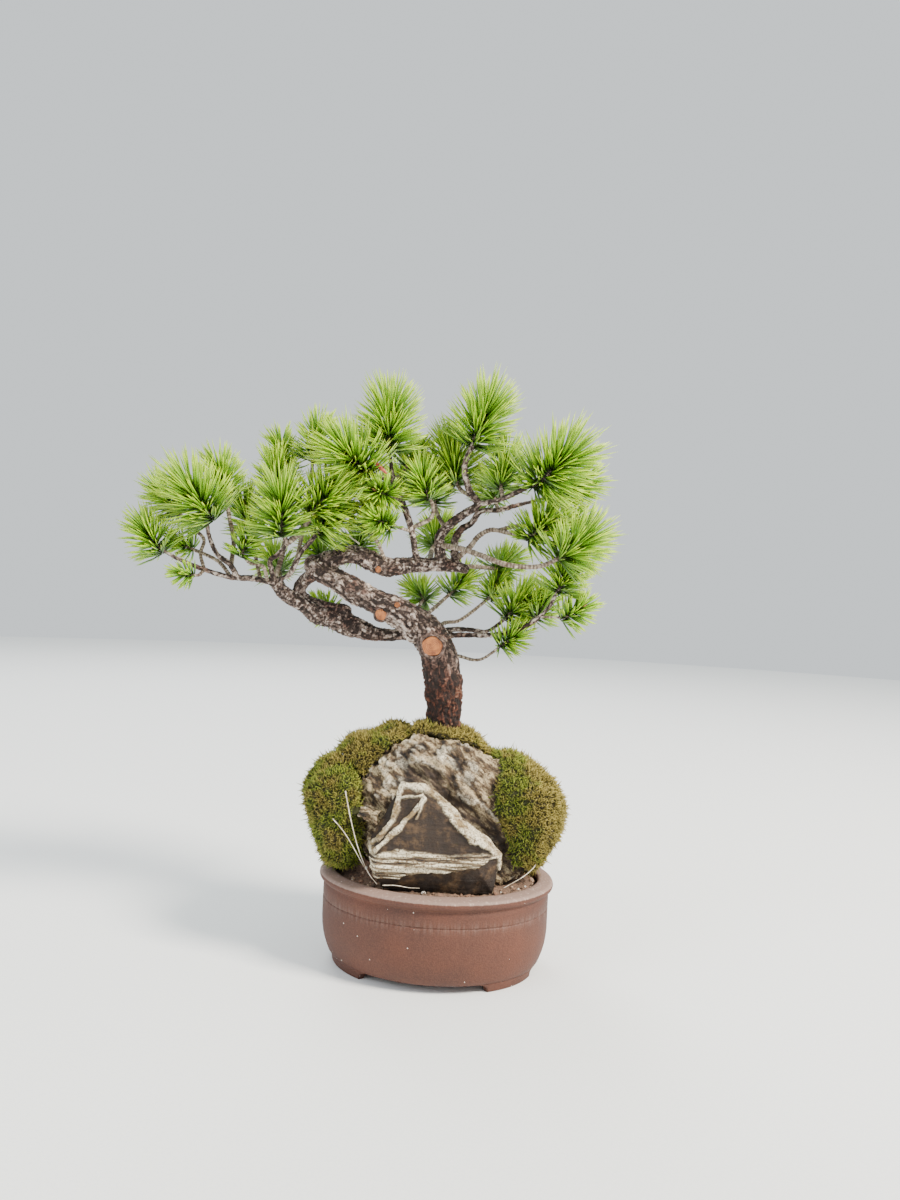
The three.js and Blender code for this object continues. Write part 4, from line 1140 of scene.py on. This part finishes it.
def scar(gathered, centre, facing, radius, draw):
    """A healed cut: ringed, sawn wood inside a rolled rim of bark."""
    wave = draw.uniform(0, 6.28, 2)
    sides = 48

    def uneven(_, k):
        angle = 2 * math.pi * k / sides
        return 1 + 0.05 * math.sin(2 * angle + wave[0]) + 0.03 * math.sin(5 * angle + wave[1])

    count = 2 * max(3, round(radius / (3 * MM)))
    face = [(radius * 0.88 * (1 - i / count) + 0.1 * MM, (1.6 + 0.25 * (i % 2)) * MM)
            for i in range(count + 1)]
    back = [(radius * 0.88, -6 * MM)]
    gathered.lathed(back + face, centre, facing, sides,
                    {"ring": [0.0] + [float(i % 2) for i in range(count + 1)], "plate": 1.0, "foot": 0.0,
                     "chance": 0.5}, 0, uneven)
    # the rim is a closed hoop, out over the roll and back behind it: its section is shares of the
    # cut's radius and heights in mm, drawn for a cut of 19 mm
    section = [(0.85, -9), (0.86, 1), (0.9, 3), (0.97, 3.6), (1.05, 3.0), (1.13, 1.0), (1.2, -3),
               (1.3, -12)]
    drawn_radius = 0.019
    hoop = []
    for i, (r, h) in enumerate(section):
        for k in range(sides):
            knob = 1 + 0.02 * draw.normal() * (2 < i < 6)
            out = Vector((math.cos(2 * math.pi * k / sides), math.sin(2 * math.pi * k / sides), 0))
            across = facing.to_track_quat("Z", "Y") @ out
            wide = float(radius * r * uneven(0, k) * knob)
            hoop.append(centre + across * wide + facing * (h * MM * radius / drawn_radius))
    base, rows = len(gathered.co), len(section)
    gathered.co += hoop
    for i in range(rows):
        for k in range(sides):
            a, b = base + i * sides, base + (i + 1) % rows * sides
            n = (k + 1) % sides
            gathered.quads.append((a + k, a + n, b + n, b + k))
    gathered.quad_material += [1] * (rows * sides)
    for key, value in (("ring", 0.0), ("plate", 0.8), ("foot", 0.5), ("chance", 0.5)):
        gathered.values[key].extend([value] * len(hoop))


class BONSAI_OT_wood(bpy.types.Operator):
    """Builds the trunk, the heavy limbs, the branches and the healed cuts"""

    bl_idname = "bonsai.wood"
    bl_label = "Trunk and branches"

    def execute(self, context):
        settings = context.scene.bonsai_wood
        bark, shoots, heart = pine_bark(settings), young_bark(settings), cut_wood()
        draw = np.random.default_rng(SEED + 2)
        lines = limb_lines(2.5 * MM)
        thick = [*HEAVY_LIMBS, *(n for n, b in BRANCHES.items() if b[1] >= BARKED)]
        co, faces, places, radius = skin_on_lines(lines, thick, settings)
        out = normals(co, faces)
        share = np.clip(radius / (24 * MM), 0.25, 1)
        depth = settings.relief * share
        # the plates' borders wander, so that no two are alike
        drift = np.stack([fractal(co, 16, 3, seed) for seed in (11.0, 12.0, 13.0)], axis=1)
        places += drift * 3.2 * MM
        coarse, chance = plates(places / (0.45 + 0.55 * share)[:, None], settings.plate / MM, 1.0)
        fine, small_chance = plates(places, 0.4 * settings.plate / MM, 7.0)
        crust = eased(coarse, 0.0, 0.2) * (0.45 + 0.55 * chance)
        flakes = eased(fine, 0, 0.25) * small_chance
        gnarl = fractal(co, 46, 2, 3.0) * 0.16 + fractal(co, 17, 3, 6.0) * 0.07
        lift = (crust + 0.45 * flakes - 0.85) * depth + gnarl * radius + fractal(co, 4, 3, 5.0) * 0.4 * MM
        co += out * np.clip(lift, -4 * MM, 5 * MM)[:, None]
        # the lower trunk and some patches take the red bark, which is darkened as painted shade
        above = (co[:, 2] - COLLAR.z) / MM
        foot_red_and_shade = 1 - eased(above + 30 * fractal(co, 60, 2, 2.0), 120, 185)
        foot_red_and_shade = np.maximum(foot_red_and_shade, 0.75 * eased(fractal(co, 42, 3, 15.0), 0.1, 0.45))
        trunk = piece("trunk_bark", co, [faces], [bark], ["trunk_and_branches"], values={
            "plate": 0.6 * crust + 0.5 * flakes, "foot": foot_red_and_shade,
            "chance": 0.5 * chance + 0.5 * small_chance})
        twigs = Gathered()
        for name in BRANCHES:
            if name not in thick:
                self.twig(twigs, *lines[name], draw)
        for name in BRANCHES:
            line, radii = lines[name]
            axis, reach, _ = tuft_axis(name, line[-1])
            way = [line[-2] + (line[-1] - line[-2]) * 0.2]
            way += [line[-1] + axis * reach * share for share in (0.2, 0.4, 0.6, 0.8, 1.0)]
            core, _ = curve_points(way, 2.2 * MM)
            self.twig(twigs, core, np.linspace(radii[-1], 1.5 * MM, len(core)), draw, 0.75)
        twigs.piece("branch_twigs", [shoots], "bark", ["trunk_and_branches"])
        self.scars(trunk, heart, bark, draw)
        return {"FINISHED"}

    def twig(self, twigs, line, radii, draw, scaly=0.36):
        """A young branch: rings of stubs where needles have fallen, every few millimetres."""
        spacing = draw.uniform(1.6, 2.4)
        phase = draw.uniform(0, 3)
        saw = [((i / spacing + phase) % 1) for i in range(len(line))]
        swell = [1.0 + 0.2 * (1 - s) for s in saw]
        knots = draw.uniform(0.92, 1.1, (len(line), 8))
        twigs.tube(line, [r * s for r, s in zip(radii, swell)], 8,
                   {"stub": [float(s < scaly) * 0.85 for s in saw]}, lambda i, k: knots[i][k])

    def scars(self, trunk, heart, bark, draw):
        """Sets each healed cut on the bark where its direction meets it."""
        skin = BVHTree.FromObject(trunk, bpy.context.evaluated_depsgraph_get())
        gathered = Gathered()
        for (x, z), radius in CUTS:
            start = MIDDLE + Vector((x, -300, z)) * MM
            hit, normal, _, _ = skin.ray_cast(start, Vector((0, 1, 0)))
            if hit is None:
                raise RuntimeError("a healed cut found no bark")
            facing = (normal * 0.2 + Vector((0.06, -1, -0.12))).normalized()
            scar(gathered, hit + facing * radius * 0.1 * MM, facing, radius * MM, draw)
        gathered.piece("healed_cuts", [heart, bark], "bark")


# ---- needles ----


def tuft_axis(name, tip):
    """The direction of a branch's tuft, how far its shoot runs on past the branch, and its radius."""
    low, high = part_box("needles_" + name)
    radius = next(r for r, names in TUFT_RADII.items() if name in names) * MM
    way = (low + high) / 2 - tip
    return way.normalized(), way.length + 0.06 * radius, radius


def needle_corners(bases, ways, lengths, bends, width):
    """Three-sided bent needles: corners and shares along, 10 corners to a needle."""
    side = np.cross(ways, bends + (1e-6, 0, 0))
    side /= np.maximum(np.linalg.norm(side, axis=1, keepdims=True), 1e-9)
    over = np.cross(ways, side)
    parts = []
    for share, wide in ((0.0, 0.7), (0.35, 1.0), (0.78, 0.8)):
        middle = bases + ways * (lengths * share)[:, None] + bends * (lengths * share**2)[:, None]
        for k in range(3):
            angle = 2 * math.pi * k / 3 + 0.5
            parts.append(middle + 0.5 * width * wide * (math.cos(angle) * side + math.sin(angle) * over))
    parts.append(bases + ways * lengths[:, None] + bends * lengths[:, None])
    return np.stack(parts, axis=1).reshape(-1, 3)


class BONSAI_OT_needles(bpy.types.Operator):
    """Grows each branch's tuft of paired needles, its shoot's bud among them"""

    bl_idname = "bonsai.needles"
    bl_label = "Needles"

    def execute(self, context):
        settings = context.scene.bonsai_needles
        green, scale = pine_needle(settings), bud_scale()
        draw = np.random.default_rng(SEED + 3)
        lines = limb_lines(2.5 * MM)
        buds = Gathered()
        for name in BRANCHES:
            tip = lines[name][0][-1]
            axis, reach, radius = tuft_axis(name, tip)
            self.tuft(name, tip, axis, reach, radius, settings, green, draw)
            size = draw.uniform(0.8, 1.2) * MM
            profile = [(0.6, 0), (2.0, 1.5), (2.5, 4), (2.2, 7), (1.3, 10), (0.4, 12)]
            buds.lathed([(r * size, (h - 1) * size) for r, h in profile], tip + axis * reach, axis, 8)
        buds.piece("winter_buds", [scale], "bark")
        return {"FINISHED"}

    def tuft(self, name, tip, axis, reach, radius, settings, green, draw):
        """One branch's needles: pairs in a spiral up the shoot, which lie closer to it near its end."""
        golden_angle = 2.39996
        pairs = round(settings.pairs * (radius / (50 * MM)) ** 1.4)
        first = -0.25 * radius
        share = (np.arange(pairs) + draw.random(pairs)) / pairs
        along = first + (reach - first) * share
        turn = np.arange(pairs) * golden_angle + draw.normal(0, 0.35, pairs)
        open_angle = np.radians(86 - 64 * share**1.6) + draw.normal(0, 0.13, pairs)
        across = np.array(axis.orthogonal().normalized())
        over = np.cross(np.array(axis), across)
        bases, ways, lengths, bends, tones = [], [], [], [], []
        for half in (-1, 1):
            spread = draw.normal(0.07, 0.03, pairs) * half
            around = turn + spread / np.sin(np.maximum(open_angle, 0.3))
            outward = np.cos(around)[:, None] * across + np.sin(around)[:, None] * over
            way = np.cos(open_angle)[:, None] * np.array(axis) + np.sin(open_angle)[:, None] * outward
            bases.append(np.array(tip) + along[:, None] * np.array(axis) + outward * 1.2 * MM)
            ways.append(way)
            lengths.append(radius * 1.1 * draw.uniform(0.82, 1.03, pairs))
            bends.append(np.array(axis) * draw.uniform(0.02, 0.16, pairs)[:, None]
                         + draw.normal(0, 0.03, (pairs, 3)))
            tones.append(np.clip(draw.normal(0.22, 0.2, pairs) + 0.4 * (share < 0.16), 0, 1))
        lengths = np.concatenate(lengths)
        co = needle_corners(np.concatenate(bases), np.concatenate(ways), lengths, np.concatenate(bends),
                            settings.width)
        count = len(lengths)
        base = np.arange(count)[:, None] * 10
        quads = np.concatenate([
            base + [row + k, row + (k + 1) % 3, row + 3 + (k + 1) % 3, row + 3 + k]
            for row in (0, 3) for k in range(3)])
        tips = np.concatenate([base + [6 + k, 6 + (k + 1) % 3, 9] for k in range(3)] + [base + [2, 1, 0]])
        piece("tuft_" + name, co, [quads, tips], [green], ["needles_" + name], values={
            "along": np.tile([0, 0, 0, 0.35, 0.35, 0.35, 0.78, 0.78, 0.78, 1.0], count),
            "tone": np.repeat(np.concatenate(tones), 10)})


# ---- small finds on the soil and in the branches ----


class BONSAI_OT_finds(bpy.types.Operator):
    """Lays dry surface roots, stalks, dead twigs and red bracts where they are"""

    bl_idname = "bonsai.finds"
    bl_label = "Roots and dead twigs"

    def execute(self, context):
        draw = np.random.default_rng(SEED + 4)
        roots = Gathered()
        for radius, path in DRY_ROOTS:
            line, _ = curve_points([MIDDLE + Vector(p) * MM for p in path], 3 * MM)
            radii = np.linspace(radius, radius * 0.45, len(line)) * MM * draw.uniform(0.85, 1.15, len(line))
            roots.tube(line, radii, 7)
        roots.piece("dry_roots", [dry_stalk()], "bark")
        bracts = Gathered()
        for radius, path in RED_BRACTS:
            line, _ = curve_points([MIDDLE + Vector(p) * MM for p in path], 3 * MM)
            swell = np.sin(np.linspace(0.35, 2.8, len(line)))
            bracts.tube(line, radius * MM * swell, 7)
        bracts.piece("red_bracts", [red_bract()], "bark")
        return {"FINISHED"}


# ---- stage ----
# Each area light: its place, its share of the key light's power, its size in metres and its colour.
LIGHTS = (
    ("window", (4.6, -2.7, 4.9), 1, 1.8, "#FFF6E9"),
    ("bounce", (-4.4, -3.2, 3.6), 0.12, 3.2, "#F2F7FF"),
    ("behind", (-1.8, 4.6, 5.0), 0.2, 3.0, "#FFFFFF"),
)


class BONSAI_OT_stage(bpy.types.Operator):
    """Lays the floor and sets the lights and the camera"""

    bl_idname = "bonsai.stage"
    bl_label = "Stage"

    def execute(self, context):
        settings = context.scene.bonsai_stage
        floor_radius = 9.0
        mesh = bpy.data.meshes.new("floor")
        shape = bmesh.new()
        bmesh.ops.create_circle(shape, cap_ends=True, segments=96, radius=floor_radius)
        shape.to_mesh(mesh)
        mesh.materials.append(plain_paper(settings))
        floor = bpy.data.objects.new("floor", mesh)
        context.scene.collection.objects.link(floor)
        world = bpy.data.worlds.new("pale_room")
        world.use_nodes = True
        background = world.node_tree.nodes["Background"]
        background.inputs["Color"].default_value = linear("#E9EFF2")
        background.inputs["Strength"].default_value = settings.sky
        context.scene.world = world
        aim = MIDDLE + Vector((0, 0, 0.45))
        for name, place, share, size, colour in LIGHTS:
            light = bpy.data.lights.new(name, "AREA")
            light.energy = settings.key_watts * share
            light.size, light.color = size, linear(colour)[:3]
            lamp = bpy.data.objects.new(name, light)
            lamp.location = MIDDLE + Vector(place)
            lamp.rotation_euler = (aim - lamp.location).to_track_quat("-Z", "Y").to_euler()
            context.scene.collection.objects.link(lamp)
        lens = bpy.data.cameras.new("camera")
        lens.lens = 27
        lens.sensor_width = 36
        eye = bpy.data.objects.new("camera", lens)
        # level, in front of the bowl, and rolled a little to the left
        stand, roll = Vector((1.4, -1500, 600)) * MM, 0.048
        eye.matrix_world = Matrix.Translation(MIDDLE + stand) @ (
            Matrix.Rotation(math.pi / 2, 4, "X") @ Matrix.Rotation(roll, 4, "Z"))
        context.scene.collection.objects.link(eye)
        context.scene.camera = eye
        return {"FINISHED"}


# ---- add-on ----
OPERATORS = (BONSAI_OT_stage, BONSAI_OT_bowl, BONSAI_OT_soil, BONSAI_OT_moss, BONSAI_OT_rocks,
             BONSAI_OT_wood, BONSAI_OT_needles, BONSAI_OT_finds)
SETTINGS = {
    "bonsai_bowl": BonsaiBowlSettings, "bonsai_moss": BonsaiMossSettings, "bonsai_rocks": BonsaiRockSettings,
    "bonsai_wood": BonsaiWoodSettings, "bonsai_needles": BonsaiNeedleSettings,
    "bonsai_stage": BonsaiStageSettings,
}


class BONSAI_PT_panel(bpy.types.Panel):
    """Lists the builders and their settings"""

    bl_idname = "BONSAI_PT_panel"
    bl_label = "Pine bonsai"
    bl_space_type = "VIEW_3D"
    bl_region_type = "UI"
    bl_category = "Bonsai"

    def draw(self, context):
        for operator in OPERATORS:
            self.layout.operator(operator.bl_idname)
        for name, group in SETTINGS.items():
            box = self.layout.box()
            box.label(text=name.split("_")[1].capitalize())
            for key in group.__annotations__:
                box.prop(getattr(context.scene, name), key)


def register():
    for kind in (*SETTINGS.values(), *OPERATORS, BONSAI_PT_panel):
        bpy.utils.register_class(kind)
    for name, group in SETTINGS.items():
        setattr(bpy.types.Scene, name, bpy.props.PointerProperty(type=group))


def unregister():
    for name in SETTINGS:
        delattr(bpy.types.Scene, name)
    for kind in (BONSAI_PT_panel, *reversed(OPERATORS), *reversed(SETTINGS.values())):
        bpy.utils.unregister_class(kind)


def main():
    register()
    for operator in OPERATORS:
        group, name = operator.bl_idname.split(".")
        getattr(getattr(bpy.ops, group), name)()


if __name__ == "__main__":
    main()
